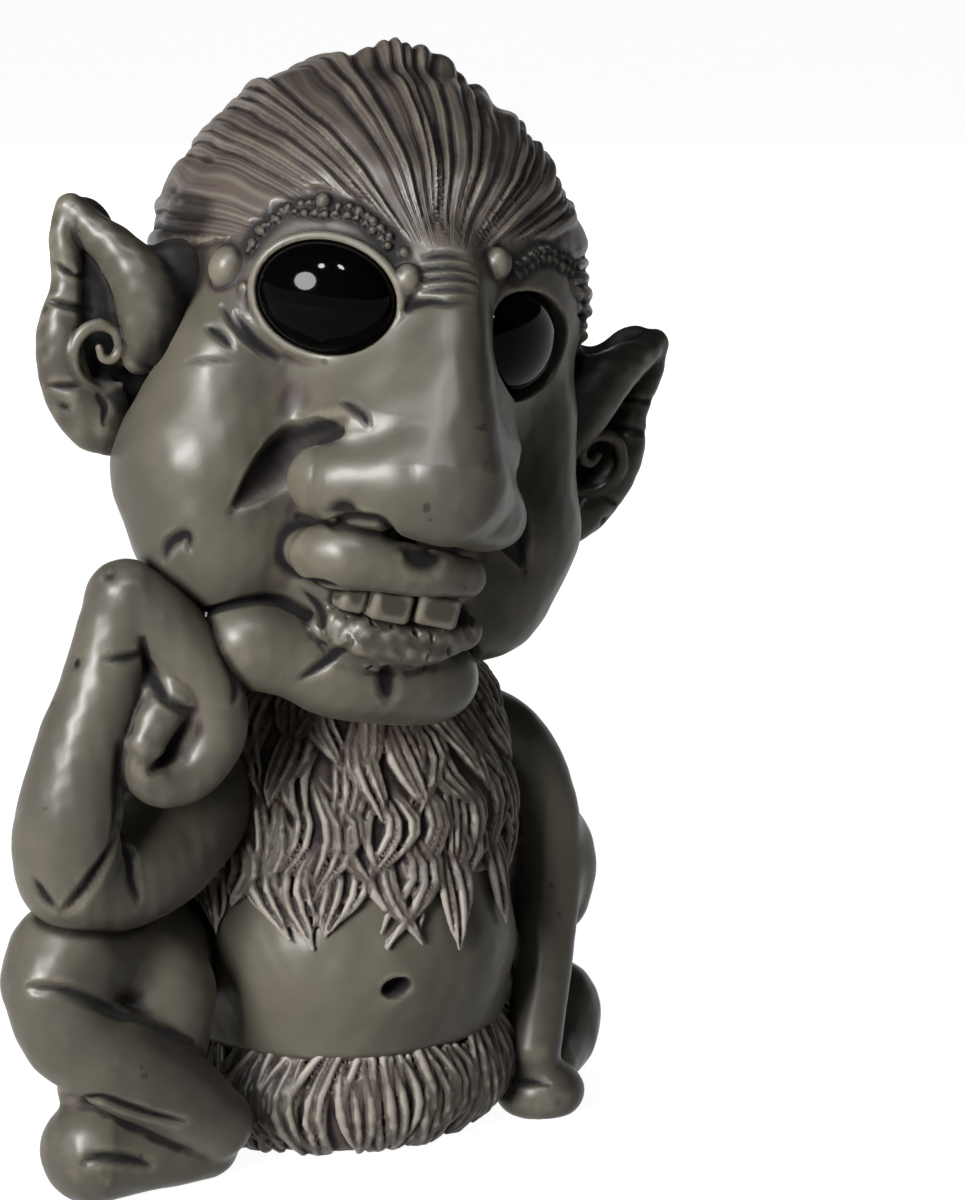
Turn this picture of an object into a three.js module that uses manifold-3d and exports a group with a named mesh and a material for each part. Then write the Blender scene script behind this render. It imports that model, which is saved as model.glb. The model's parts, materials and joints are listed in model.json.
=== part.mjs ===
// A seated troll ornament in cast resin: a huge head with glossy black eyes rests its cheek on a bent wrist.
// The figure is an assembly of glued castings, each modelled as a lump of clay and then skinned.
// Millimetres, +Z up. The figure faces -Y, and its own left hand is at +X. The origin is the middle of the
// felt pad's underside, on the table.
import * as THREE from "three";
import { mergeVertices } from "three/addons/utils/BufferGeometryUtils.js";
import Module from "manifold-3d";

const wasm = await Module();
wasm.setup();

// Assembly
const GLUE_GAP = 0.4; // between a casting and the socket or face that it is glued into
const FELT_THICKNESS = 1.5; // the pad is let into the underside, flush with it
const FELT_RADIUS = 12;

// Head. Its pieces are placed from a point between the ears, in a frame that leans to the figure's left.
const HEAD_PLACE = [3, 2, 101];
const HEAD_LEAN = 16; // degrees
const CRANIUM = { at: [1.8, 3, 14.5], radii: [29, 29.5, 26.5] };
const CROWN = { at: [2, 8, 25], radii: [21, 20, 17.2] };
const BROW = { at: [0, -13, 13], radii: [21, 11.5, 11] };
const NAPE = { at: [1.5, 13, -10], radii: [24, 17, 25] };
const FACE = { at: [0, -16, 3], radii: [17, 12, 15] };
const MUZZLE = { at: [1, -10, -14], radii: [20, 18.5, 20] };
const MOUTH_MOUND = { at: [1.5, -23.5, -20], radii: [13, 8, 9] };
const JAW = { at: [2, -8, -26], radii: [17, 16, 13] };
const CHIN = { at: [2, -21.5, -33.2], radii: [14, 9.5, 7.2] };
const TEMPLE = { at: [22, -11, 0], radii: [7, 9, 9] }; // on each side, like the next three
const CHEEK = { at: [21, -12, -13], radii: [11.5, 13, 13] };
const CHEEK_LOBE = { at: [18, -15.5, -20.5], radii: [11, 10, 9.5] };
const JOWL = { at: [12.5, -21.5, -30], radii: [7, 6.5, 6] };
const NOSE = [
  [0, -25, 19, 4.2],
  [0, -29.5, 11, 5.2],
  [0, -33.5, 3, 6.6],
  [0.5, -36.5, -5.5, 8.4],
];
const NOSE_FLANK = [
  [3.3, -23.5, 10, 3.5],
  [5.7, -26.5, 3.5, 5],
  [7.6, -29, -2.3, 6],
];
const NOSTRIL_WING = [
  [1.7, -36.5, -6.1, 6.8],
  [5.8, -34, -7.8, 6.1],
  [9.7, -31.5, -8.9, 5.5],
  [11.9, -29.5, -9.5, 4.1],
];
const UPPER_LIP = [
  [-10.7, -29, -18.9, 3],
  [-7.8, -32, -17.6, 3.9],
  [-2.9, -33.8, -17.6, 3.6],
  [3.4, -34, -17.6, 3.2],
  [9.5, -32, -17.7, 2.8],
];
const LOWER_LIP = [
  [-4.9, -28, -27.7, 2.4],
  [-0.9, -30.4, -28.2, 3],
  [5.8, -30.8, -27.4, 3],
  [12.5, -28.8, -25.2, 2.4],
];
const MOUTH = { at: [1.8, -33, -23], radii: [10, 4, 2.5] };
const TUFT = [
  [-5.9, 4, 39.6, 2.2],
  [-2.4, 5, 42.4, 2.6],
  [3.8, 6, 41.9, 2.8],
];

// Eyes: black domes, each glued into a pocket with a lid round it
const EYE_WIDTH = 18;
const EYE_HEIGHT = 14;
const EYE_DOME = 5; // from the rim to the top of the dome
const EYE_SEAT = 3; // depth of the pocket below the rim
const EYES = {
  right: { at: [-14.6, -22.4, 12.4], yaw: -33 }, // degrees that the eye looks to the figure's left
  left: { at: [11.6, -22.2, 12], yaw: 36 },
};
const LID_THICKNESS = 2.4;
const WART_RADIUS = 2.2;
const WART_PLACES = [
  [-26.4, -15, 13.5],
  [-6.2, -27.5, 17],
  [5, -27.5, 17.5],
];

// Teeth of the upper jaw
const TEETH = [
  { at: [-5.1, -30.9, -23.2], size: [3.6, 4, 3.4] },
  { at: [-0.3, -32.2, -23], size: [5.6, 4, 4.2] },
  { at: [6.2, -32, -22.5], size: [6, 4, 4.2] },
];

// Ears: a bowl behind, a rolled rim down the outside, a broad flap in front that runs up to the pointed tip,
// and a curl in the bowl. This is the right one, and the left one is its mirror image.
const EAR_BOWL = { at: [-35.3, -1.5, 0.2], radii: [6.5, 3, 12], turn: [0, 10, 0] };
const EAR_TIP = { at: [-38.7, -1, 8.4], radii: [4.6, 1.8, 8.5], turn: [0, -22, 0] };
const EAR_ROOT = { at: [-26.9, -2.8, 5.9], radii: [5.6, 5, 8.2], turn: [0, -8, 0] };
const EAR_LOBE = { at: [-33.7, -5, -9.7], radii: [3.6, 3.2, 4.6] };
const EAR_FLAP = [
  [-43.4, -2.2, 15.1, 1.2],
  [-40.7, -4, 13.2, 2.1],
  [-37.1, -6, 11, 3],
  [-33.9, -7.5, 8.3, 3.8],
  [-31.6, -8, 4.8, 4.2],
  [-30.7, -7.5, 1.2, 3.6],
  [-30.9, -6.6, -1.1, 2.6],
];
const EAR_RIM = [
  [-43.4, -2, 14.8, 1.2],
  [-43.4, -2.4, 11.6, 1.7],
  [-42.4, -3, 8, 1.9],
  [-41.6, -3.5, 4.5, 2.1],
  [-41.5, -4, 0.4, 2.8],
  [-40.7, -4.4, -3.3, 3.1],
  [-39.1, -4.8, -6.8, 3.2],
  [-37, -5.2, -9.5, 3.4],
  [-34.3, -5.5, -11.3, 3.5],
  [-31.8, -5.5, -12.1, 2.8],
];
const EAR_CURL = [
  [-32.1, -6, -5.1, 1.2],
  [-36.4, -6.4, -5.9, 1.3],
  [-39.6, -6.4, -2.9, 1.3],
  [-38.4, -6.4, 1, 1.2],
];

// Torso, bare between the fur on the chest and the fur round the hips
const SEAT = { at: [2, 2, 9], radii: [24, 22, 14] };
const BELLY = { at: [2.6, 0, 25], radii: [23, 22.5, 20] };
const CHEST = { at: [2.6, 1, 44], radii: [22.5, 17.5, 16] };
const SHOULDERS = { at: [2.8, 5, 54], radii: [23, 14, 13] };
const BACK = { at: [2.6, 9, 38], radii: [21.5, 15, 24] };
const MANTLE_HEM = 34; // height of the chest fur's lower edge; the tips of its lowest tufts hang below it
const MANTLE_PROUD = 1; // how far the fur between the tufts stands above the skin
const SKIRT_TOP = 13; // height of the hip fur's upper edge
const SKIRT_PROUD = 1.8;

// Tufts of the chest fur: leaves that hang in rings round the torso, each ring between the tufts of the last
const TUFT_AXIS = [2.6, 3];
const TUFT_ROOTS = [64, 57, 50, 43.5]; // heights of the rings
const TUFT_SPACING = 8.7;
const TUFT_LENGTH = 13;
const TUFT_WIDTH = 7;
const TUFT_THICKNESS = 6.2; // about half of it is sunk in the fur
const TUFT_LIFT = 0.2; // of the root and the tip over the skin
const TUFT_SHAPE = [
  { down: 0, width: 0 },
  { down: 0.35, width: 1 },
  { down: 0.7, width: 0.8 },
  { down: 1, width: 0 },
];

// The torso runs up through the fur as a round core, and on into the head as the neck.
const CORE = { at: [2, 4], radius: 11, top: 58 };
const NECK = { at: [4, 4], radius: 8, top: 82 };
const HIP_CORE = { at: [2, 2], radii: [17, 15] };

// Limbs: points along the middle of each, with the radius there, from the body outwards
const RIGHT_ARM = [
  [-17, 0, 50, 8.5],
  [-24, -7, 46.5, 8.5],
  [-31, -13, 43.8, 7.8],
  [-38, -16.5, 43, 7],
  [-42.6, -19, 45, 6.8],
  [-43.4, -19.8, 50, 7],
  [-42.6, -20, 55.5, 6.6],
  [-41, -19.5, 61.4, 5.9],
  [-38.4, -18.5, 67.4, 5.4],
  [-36.3, -17.5, 73.5, 5],
  [-34, -17, 79.6, 5],
];
const RIGHT_HAND = [
  [-34, -17, 79.6, 5],
  [-30.5, -18.5, 77, 4.9],
  [-27.2, -20, 72.4, 4.8],
  [-24.4, -21, 67.1, 4.6],
  [-24.2, -21.5, 61.9, 4.2],
  [-27.6, -22, 57.4, 3.9],
  [-32.5, -22.7, 56.5, 3.5],
  [-35.3, -22.7, 59.4, 2.8],
];
const RIGHT_PALM = { at: [-30.5, -18.5, 66], radii: [6, 4, 8] };
const RIGHT_THUMB = [
  [-26.7, -20, 64.9, 3],
  [-30.8, -22, 63.5, 2.7],
  [-34.3, -23, 61.8, 2.4],
];
const RIGHT_THIGH = [
  [-17, 8, 21, 8.5],
  [-27, -3, 27.5, 8],
  [-36.4, -11, 31, 7.6],
  [-43, -16.5, 32.9, 7.5],
];
const RIGHT_SHIN = [
  [-45.2, -18.5, 30.6, 6.8],
  [-43.5, -20, 24.7, 6.6],
  [-37.2, -20.5, 19.6, 6.4],
  [-29.9, -19, 14.2, 6],
  [-23.1, -17, 8, 5],
];
const RIGHT_CALF = { at: [-31, -13, 20], radii: [8.5, 7, 8.5] }; // fills the fold behind the knee
const RIGHT_FOOT = [
  [-23.6, -14.5, 4.2, 4.6],
  [-31.8, -15.8, 5.2, 5.4],
  [-39.3, -15.8, 6.2, 7],
];
const LEFT_ARM = [
  [20, 6, 53, 6],
  [28.5, 4, 48.7, 5.2],
  [32.7, 1.5, 40.1, 4.7],
  [33.1, 0, 31.9, 4.4],
  [31.3, -3, 22.9, 4],
  [28.2, -7, 14.4, 3.9],
  [26, -9.5, 8.4, 4],
];
const LEFT_ELBOW = { at: [36, 4, 29.5], radii: [5.4, 6, 9.5] };
const LEFT_HAND = { at: [27, -9.8, 2.6], radii: [6.2, 6.4, 4.4] };
const LEFT_THIGH = [
  [16, 10, 10, 8.5],
  [27, 9, 8.6, 8.4],
  [35, 6, 7.6, 8],
];
const LEFT_FOOT = [
  [35, 3, 5, 6],
  [31, -2, 4, 5],
];

// Pegs that key each casting into the body or the head: from inside the casting, to inside its socket
const PEGS = {
  right_arm: { from: [-24, -7, 49], to: [-10, 3, 53], radius: 3.5 },
  left_arm: { from: [29.5, 4, 49], to: [15, 5, 52], radius: 3.5 },
  right_leg: { from: [-27, -3, 26], to: [-13, 6, 22], radius: 4 },
  left_leg: { from: [30, 8, 8], to: [20, 7, 9.5], radius: 3.5 },
  right_ear: { from: [-30, -3, 3], to: [-21, -1, 3.5], radius: 2.6 },
};

// Skins: a facet's side at the lump's focus, and how soon the facets grow away from it.
const HEAD_SKIN = { facet: 3, growth: 0.08, focus: [0, -34, -12] };
const BODY_SKIN = { facet: 4.2, growth: 0.02, focus: [0, -20, 40] };
const RIGHT_SKIN = { facet: 3.3, growth: 0.02, focus: [-32, -22, 60] };
const LEFT_SKIN = { facet: 3.3, growth: 0.02, focus: [28, -10, 10] };
const EAR_SKIN = { facet: 2.1, growth: 0.04, focus: [-36, -4, 0] };

// Shapes of clay. Each is a signed distance, negative inside, with the box that holds it.
const vector = ([x, y, z]) => new THREE.Vector3(x, y, z);
const mirrored = ([x, ...rest]) => [-x, ...rest];
const translation = ([x, y, z]) => new THREE.Matrix4().makeTranslation(x, y, z);

function ellipsoid({ at, radii, turn = [0, 0, 0] }) {
  const angles = turn.map(THREE.MathUtils.degToRad);
  const turned = new THREE.Matrix4().makeRotationFromEuler(new THREE.Euler(...angles));
  const into = turned.setPosition(...at).invert();
  const scaled = vector(radii.map((radius) => 1 / radius));
  const reach = 2 * Math.max(...radii);
  const p = new THREE.Vector3();
  const distance = (x, y, z) => {
    p.set(x, y, z).applyMatrix4(into).multiply(scaled);
    const share = p.length();
    return (share * (share - 1)) / Math.max(p.multiply(scaled).length(), 1e-9);
  };
  return { distance, box: new THREE.Box3().setFromCenterAndSize(vector(at), vector([reach, reach, reach])) };
}

// A tapering limb through points [x, y, z, radius], on a smooth curve.
const STEPS_PER_SPAN = 4;
function limb(points) {
  const curve = new THREE.CatmullRomCurve3(points.map(vector));
  const spans = points.length - 1;
  const count = spans * STEPS_PER_SPAN;
  const nodes = [];
  for (let i = 0; i <= count; i++) {
    const along = (i / count) * spans;
    const span = Math.min(Math.floor(along), spans - 1);
    const radius = THREE.MathUtils.lerp(points[span][3], points[span + 1][3], along - span);
    nodes.push({ at: curve.getPoint(i / count), radius });
  }
  const axisTo = (end, i) => end.at.clone().sub(nodes[i].at);
  const links = nodes.slice(1).map((end, i) => ({ start: nodes[i], end, axis: axisTo(end, i) }));
  const p = new THREE.Vector3();
  const distance = (x, y, z) => {
    let nearest = Infinity;
    for (const { start, end, axis } of links) {
      p.set(x, y, z).sub(start.at);
      const share = THREE.MathUtils.clamp(p.dot(axis) / axis.lengthSq(), 0, 1);
      const away = p.addScaledVector(axis, -share).length();
      nearest = Math.min(nearest, away - THREE.MathUtils.lerp(start.radius, end.radius, share));
    }
    return nearest;
  };
  const thickest = Math.max(...points.map((point) => point[3]));
  const box = new THREE.Box3().setFromPoints(nodes.map((node) => node.at)).expandByScalar(thickest);
  return { distance, box };
}

function smoothMin(a, b, blend) {
  const overlap = Math.max(blend - Math.abs(a - b), 0) / blend;
  return Math.min(a, b) - (overlap * overlap * blend) / 4;
}

// Lumps joined in turn, each with its own blend: [lump, blend].
const FAR = 1e3;
function clay(...lumps) {
  const distance = (x, y, z) =>
    lumps.reduce((nearest, [lump, blend]) => smoothMin(nearest, lump.distance(x, y, z), blend), FAR);
  const box = lumps.reduce((all, [lump]) => all.union(lump.box), new THREE.Box3());
  return { distance, box };
}

// Grid lines along one axis, at facet's spacing by the focus and wider away from it.
function gridLines(low, high, focus, facet, growth) {
  const count = (place) => Math.asinh(((place - focus) * growth) / facet) / growth;
  const first = Math.floor(count(low)) - 2;
  const last = Math.ceil(count(high)) + 2;
  const line = (n) => focus + (facet * Math.sinh(growth * n)) / growth;
  return Array.from({ length: last - first + 1 }, (_, i) => line(first + i));
}

// Skins a lump where its distance is level, as one closed sheet of facets over the cells of a grid.
const CORNERS = Array.from({ length: 8 }, (_, corner) => corner);
const OFFSETS = CORNERS.map((corner) => [corner & 1, (corner >> 1) & 1, corner >> 2]);
const AXIS_BITS = [1, 2, 4];
const CELL_EDGES = CORNERS.flatMap((a) => AXIS_BITS.filter((bit) => !(a & bit)).map((bit) => [a, a | bit]));
const cornersOn = (bit, side) => CORNERS.filter((corner) => (corner & bit) === side);
const CELL_FACES = AXIS_BITS.flatMap((bit) => [cornersOn(bit, 0), cornersOn(bit, bit)]);

function skin(lump, { facet, growth, focus }, level = 0) {
  const low = lump.box.min.toArray();
  const high = lump.box.max.toArray();
  const lines = focus.map((middle, axis) => gridLines(low[axis], high[axis], middle, facet, growth));
  const [nx, ny, nz] = lines.map((line) => line.length);
  const index = (i, j, k) => i + nx * (j + ny * k);
  const values = new Float64Array(nx * ny * nz);
  for (let k = 0; k < nz; k++)
    for (let j = 0; j < ny; j++)
      for (let i = 0; i < nx; i++)
        values[index(i, j, k)] = lump.distance(lines[0][i], lines[1][j], lines[2][k]) - level;
  const cells = [];
  for (let k = 0; k < nz - 1; k++)
    for (let j = 0; j < ny - 1; j++)
      for (let i = 0; i < nx - 1; i++)
        cells.push({ at: [i, j, k], corners: OFFSETS.map(([a, b, c]) => index(i + a, j + b, k + c)) });
  fillSplitCells(values, cells);

  const positions = [];
  const vertexOf = new Map();
  for (const { at, corners } of cells) {
    const v = corners.map((corner) => values[corner]);
    const crossed = CELL_EDGES.filter(([a, b]) => v[a] < 0 !== v[b] < 0);
    if (!crossed.length) continue;
    const mean = [0, 0, 0];
    for (const [a, b] of crossed) {
      const share = THREE.MathUtils.clamp(v[a] / (v[a] - v[b]), 0.05, 0.95);
      for (let axis = 0; axis < 3; axis++)
        mean[axis] += THREE.MathUtils.lerp(OFFSETS[a][axis], OFFSETS[b][axis], share) / crossed.length;
    }
    vertexOf.set(corners[0], positions.length / 3);
    const between = (n, axis) => THREE.MathUtils.lerp(lines[axis][n], lines[axis][n + 1], mean[axis]);
    positions.push(...at.map(between));
  }

  const spot = (n) => vector(positions.slice(3 * n, 3 * n + 3));
  const apart = (m, n) => spot(m).distanceTo(spot(n));
  const triangles = [];
  const steps = [1, nx, nx * ny];
  for (const { corners } of cells)
    for (let axis = 0; axis < 3; axis++) {
      const here = corners[0];
      const inside = values[here] < 0;
      if (inside === values[here + steps[axis]] < 0) continue;
      const u = steps[(axis + 1) % 3];
      const w = steps[(axis + 2) % 3];
      const [a, b, c, d] = [here, here - u, here - u - w, here - w].map((cell) => vertexOf.get(cell));
      const [first, second, third, fourth] = apart(a, c) <= apart(b, d) ? [a, b, c, d] : [b, c, d, a];
      if (inside) triangles.push(first, second, third, first, third, fourth);
      else triangles.push(first, third, second, first, fourth, third);
    }
  const geometry = new THREE.BufferGeometry();
  geometry.setAttribute("position", new THREE.Float32BufferAttribute(positions, 3));
  geometry.setIndex(triangles);
  return geometry;
}

// Fills grid points until no cell holds two sheets of the skin, so that it never touches itself.
const FILLED = -1e-3;
function fillSplitCells(values, cells) {
  const linked = (members) => {
    const reached = members.slice(0, 1);
    for (const corner of reached)
      for (const bit of AXIS_BITS)
        if (members.includes(corner ^ bit) && !reached.includes(corner ^ bit)) reached.push(corner ^ bit);
    return reached.length === members.length;
  };
  for (let changed = true; changed; ) {
    changed = false;
    for (const { corners } of cells) {
      const inside = CORNERS.filter((corner) => values[corners[corner]] < 0);
      if (inside.length < 2 || inside.length > 6) continue;
      const outside = CORNERS.filter((corner) => !inside.includes(corner));
      const crossed = CELL_FACES.some((face) => {
        const [a, b, c, d] = face.map((corner) => inside.includes(corner));
        return a === d && b === c && a !== b;
      });
      if (!crossed && linked(inside) && linked(outside)) continue;
      const points = outside.map((corner) => corners[corner]);
      const nearest = points.reduce((best, point) => (values[point] < values[best] ? point : best));
      values[nearest] = FILLED;
      changed = true;
    }
  }
}

// Solids, joined and cut
function solid(geometry, matrix = new THREE.Matrix4()) {
  const bare = geometry.clone().applyMatrix4(matrix);
  bare.deleteAttribute("normal");
  bare.deleteAttribute("uv");
  const merged = mergeVertices(bare, 1e-4);
  const mesh = new wasm.Mesh({
    numProp: 3,
    vertProperties: merged.attributes.position.array,
    triVerts: new Uint32Array(merged.index.array),
  });
  return new wasm.Manifold(mesh);
}

const cut = (piece, ...cutters) => cutters.reduce((left, cutter) => left.subtract(cutter), piece);
const join = (piece, ...others) => others.reduce((whole, other) => whole.add(other), piece);

// The largest body of a solid: a cut can leave crumbs where two castings graze each other.
const bigger = (one, other) => (other.volume() > one.volume() ? other : one);
const largest = (piece) => piece.decompose().reduce(bigger);

function geometryOf(piece) {
  const { numProp, vertProperties, triVerts, numVert } = piece.getMesh();
  const positions = new Float32Array(numVert * 3);
  for (let i = 0; i < numVert; i++) {
    const start = i * numProp;
    positions.set(vertProperties.subarray(start, start + 3), i * 3);
  }
  const geometry = new THREE.BufferGeometry();
  geometry.setAttribute("position", new THREE.BufferAttribute(positions, 3));
  geometry.setIndex(new THREE.BufferAttribute(triVerts, 1));
  return geometry;
}

const BALL_SIDES = 10;
function ball(at, radii) {
  return solid(new THREE.SphereGeometry(1, BALL_SIDES, BALL_SIDES - 3), translation(at).scale(vector(radii)));
}

const COLUMN_SIDES = 24;
function column({ at, radius, radii = [radius, radius] }, low, high, grow = 0) {
  const round = new THREE.CylinderGeometry(1, 1, high - low, COLUMN_SIDES).rotateX(Math.PI / 2);
  const place = translation([...at, (low + high) / 2]);
  return solid(round, place.scale(vector([radii[0] + grow, radii[1] + grow, 1])));
}

// Everything between two heights
const WIDE = 200;
function slab(low, high) {
  return solid(new THREE.BoxGeometry(WIDE, WIDE, high - low), translation([0, 0, (low + high) / 2]));
}

// A round peg between two points, with grow added round it and past its far end
const PEG_SIDES = 12;
function peg({ from, to, radius }, grow = 0) {
  const start = vector(from);
  const axis = vector(to).sub(start);
  const length = axis.length() + grow;
  axis.normalize();
  const round = new THREE.CylinderGeometry(radius + grow, radius + grow, length, PEG_SIDES);
  const turn = new THREE.Quaternion().setFromUnitVectors(new THREE.Vector3(0, 1, 0), axis);
  const middle = start.addScaledVector(axis, length / 2);
  return solid(round, new THREE.Matrix4().compose(middle, turn, vector([1, 1, 1])));
}

// Head pieces, in the head's own frame
const headGroup = new THREE.Group();
headGroup.position.set(...HEAD_PLACE);
headGroup.rotation.y = THREE.MathUtils.degToRad(HEAD_LEAN);
headGroup.updateMatrix();
const intoHead = headGroup.matrix.clone().invert();

const mirror = (lump) => ({ ...lump, at: mirrored(lump.at) });
const bothSides = (shape, blend) => [
  [ellipsoid(shape), blend],
  [ellipsoid(mirror(shape)), blend],
];
const bothLimbs = (points, blend) => [
  [limb(points), blend],
  [limb(points.map(mirrored)), blend],
];
const headClay = clay(
  [ellipsoid(CRANIUM), 1],
  [ellipsoid(CROWN), 6],
  [ellipsoid(BROW), 6],
  [ellipsoid(NAPE), 8],
  [ellipsoid(FACE), 6],
  [ellipsoid(MUZZLE), 8],
  [ellipsoid(MOUTH_MOUND), 3],
  [ellipsoid(JAW), 6],
  ...bothSides(TEMPLE, 6),
  ...bothSides(CHEEK, 5),
  ...bothSides(CHEEK_LOBE, 3),
  [ellipsoid(CHIN), 2],
  ...bothSides(JOWL, 1.2),
  [limb(TUFT), 3],
  [limb(NOSE), 4],
  ...bothLimbs(NOSE_FLANK, 6),
  ...bothLimbs(NOSTRIL_WING, 2.5),
  [limb(UPPER_LIP), 1],
  [limb(LOWER_LIP), 2],
);

// An eye dome stands on its rim at the origin, its axis along +Z, with grow added all round.
const DOME_STEPS = 4;
const EYE_SIDES = 20;
function eyeDome(grow = 0) {
  const across = EYE_WIDTH / 2 + grow;
  const profile = [new THREE.Vector2(0, -EYE_SEAT - grow), new THREE.Vector2(across, -EYE_SEAT - grow)];
  for (let i = 0; i < DOME_STEPS; i++) {
    const angle = (i / DOME_STEPS) * (Math.PI / 2);
    profile.push(new THREE.Vector2(across * Math.cos(angle), (EYE_DOME + grow) * Math.sin(angle)));
  }
  profile.push(new THREE.Vector2(0, EYE_DOME + grow));
  const squash = (EYE_HEIGHT / 2 + grow) / across;
  return new THREE.LatheGeometry(profile, EYE_SIDES).rotateX(Math.PI / 2).scale(1, squash, 1);
}

function eyeFrame({ at, yaw }) {
  const frame = new THREE.Object3D();
  frame.position.set(...at);
  frame.rotation.x = Math.PI / 2;
  frame.rotateY(THREE.MathUtils.degToRad(yaw));
  frame.updateMatrix();
  return frame;
}

const LID_SIDES = 6;
function lidRing() {
  const reach = EYE_WIDTH / 2 + LID_THICKNESS / 4;
  const ring = new THREE.TorusGeometry(reach, LID_THICKNESS / 2, LID_SIDES, EYE_SIDES);
  return ring.scale(1, EYE_HEIGHT / EYE_WIDTH, 1);
}

const rightEarClay = clay(
  [ellipsoid(EAR_BOWL), 1],
  [ellipsoid(EAR_TIP), 2.5],
  [ellipsoid(EAR_ROOT), 3],
  [limb(EAR_FLAP), 2.2],
  [limb(EAR_RIM), 1.2],
  [ellipsoid(EAR_LOBE), 1.2],
  [limb(EAR_CURL), 0.4],
);
const headSolid = solid(skin(headClay, HEAD_SKIN));
const headRoom = solid(skin(headClay, HEAD_SKIN, GLUE_GAP)); // the head with the glue round it
const rightEar = solid(skin(rightEarClay, EAR_SKIN));
const ears = {
  right: largest(join(cut(rightEar, headRoom), peg(PEGS.right_ear))),
  left: largest(join(cut(rightEar.mirror([1, 0, 0]), headRoom), peg(PEGS.right_ear).mirror([1, 0, 0]))),
};

const neckInHead = (grow) => column(NECK, CORE.top, NECK.top + grow, grow).transform(intoHead.elements);
let head = join(
  headSolid,
  ...WART_PLACES.map((at) => ball(at, [WART_RADIUS, WART_RADIUS, WART_RADIUS])),
  ...Object.values(EYES).map((eye) => solid(lidRing(), eyeFrame(eye).matrix)),
);
head = cut(head, ball(MOUTH.at, MOUTH.radii));
head = join(head, ...TEETH.map(({ at, size }) => solid(new THREE.BoxGeometry(...size), translation(at))));
head = cut(
  head,
  ...Object.values(EYES).map((eye) => solid(eyeDome(GLUE_GAP), eyeFrame(eye).matrix)),
  peg(PEGS.right_ear, GLUE_GAP),
  peg(PEGS.right_ear, GLUE_GAP).mirror([1, 0, 0]),
  neckInHead(GLUE_GAP),
);

// Body pieces, in the figure's frame
const bodyClay = clay(
  [ellipsoid(SEAT), 1],
  [ellipsoid(BELLY), 6],
  [ellipsoid(CHEST), 8],
  [ellipsoid(SHOULDERS), 6],
  [ellipsoid(BACK), 8],
);

// The skin's distance from an upright axis, towards an angle round it and at a height
function skinRadius(lump, [x, y], angle, height) {
  let low = 0;
  let high = WIDE / 4;
  while (high - low > 0.01) {
    const middle = (low + high) / 2;
    const inside = lump.distance(x + middle * Math.sin(angle), y - middle * Math.cos(angle), height) < 0;
    if (inside) low = middle;
    else high = middle;
  }
  return low;
}

// A tuft hangs from its root at an angle round the torso, its broad side along the skin.
const TUFT_SIDES = 6;
function tuft(angle, root, grow) {
  const outward = new THREE.Vector3(Math.sin(angle), -Math.cos(angle), 0);
  const overSkin = (height) => {
    const out = skinRadius(bodyClay, TUFT_AXIS, angle, height) + TUFT_LIFT;
    return new THREE.Vector3(...TUFT_AXIS, height).addScaledVector(outward, out);
  };
  const start = overSkin(root);
  const axis = overSkin(root - TUFT_LENGTH).sub(start);
  const length = axis.length();
  axis.normalize();
  const sideways = axis.clone().cross(outward).normalize();
  const proud = sideways.clone().cross(axis);
  const place = new THREE.Matrix4().makeBasis(sideways, axis, proud).setPosition(start);
  const reach = TUFT_WIDTH / 2 + grow;
  const profile = TUFT_SHAPE.map(
    ({ down, width }) => new THREE.Vector2(width * reach, down * (length + 2 * grow) - grow),
  );
  const flat = (TUFT_THICKNESS / 2 + grow) / reach;
  return solid(new THREE.LatheGeometry(profile, TUFT_SIDES).scale(1, 1, flat), place);
}

function tufts(grow = 0) {
  return TUFT_ROOTS.flatMap((root, ring) => {
    const count = Math.round((2 * Math.PI * skinRadius(bodyClay, TUFT_AXIS, 0, root)) / TUFT_SPACING);
    const angle = (i) => ((i + ring / 2) * 2 * Math.PI) / count;
    return Array.from({ length: count }, (_, i) => tuft(angle(i), root, grow));
  });
}

const bare = solid(skin(bodyClay, BODY_SKIN));
const bareRoom = solid(skin(bodyClay, BODY_SKIN, GLUE_GAP));
const coat = solid(skin(bodyClay, BODY_SKIN, MANTLE_PROUD)).intersect(slab(MANTLE_HEM, WIDE));
const mantle = join(coat, ...tufts());
const skirt = solid(skin(bodyClay, BODY_SKIN, SKIRT_PROUD)).intersect(slab(0, SKIRT_TOP));
const mantleRoom = solid(skin(bodyClay, BODY_SKIN, MANTLE_PROUD + GLUE_GAP));
const skirtRoom = solid(skin(bodyClay, BODY_SKIN, SKIRT_PROUD + GLUE_GAP));
const bodyRoom = join(
  bareRoom,
  mantleRoom.intersect(slab(MANTLE_HEM - GLUE_GAP, WIDE)),
  ...tufts(GLUE_GAP),
  skirtRoom.intersect(slab(-WIDE, SKIRT_TOP + GLUE_GAP)),
);
const headRoomInBody = headRoom.transform(headGroup.matrix.elements);
const belowFloor = slab(-WIDE, 0);

const limbClay = {
  right_leg: clay(
    [limb(RIGHT_THIGH), 1],
    [limb(RIGHT_SHIN), 1.2],
    [ellipsoid(RIGHT_CALF), 1],
    [limb(RIGHT_FOOT), 1.2],
  ),
  left_leg: clay([limb(LEFT_THIGH), 1], [limb(LEFT_FOOT), 1.5]),
  right_arm: clay(
    [limb(RIGHT_ARM), 1],
    [limb(RIGHT_HAND), 0.8],
    [ellipsoid(RIGHT_PALM), 1],
    [limb(RIGHT_THUMB), 0.5],
  ),
  left_arm: clay([limb(LEFT_ARM), 1], [ellipsoid(LEFT_ELBOW), 2], [ellipsoid(LEFT_HAND), 1.5]),
};
const skinOf = { right_leg: RIGHT_SKIN, left_leg: LEFT_SKIN, right_arm: RIGHT_SKIN, left_arm: LEFT_SKIN };
const roomOf = (name) => solid(skin(limbClay[name], skinOf[name], GLUE_GAP));
const legRoom = { right_arm: roomOf("right_leg"), left_arm: roomOf("left_leg") };

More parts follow.
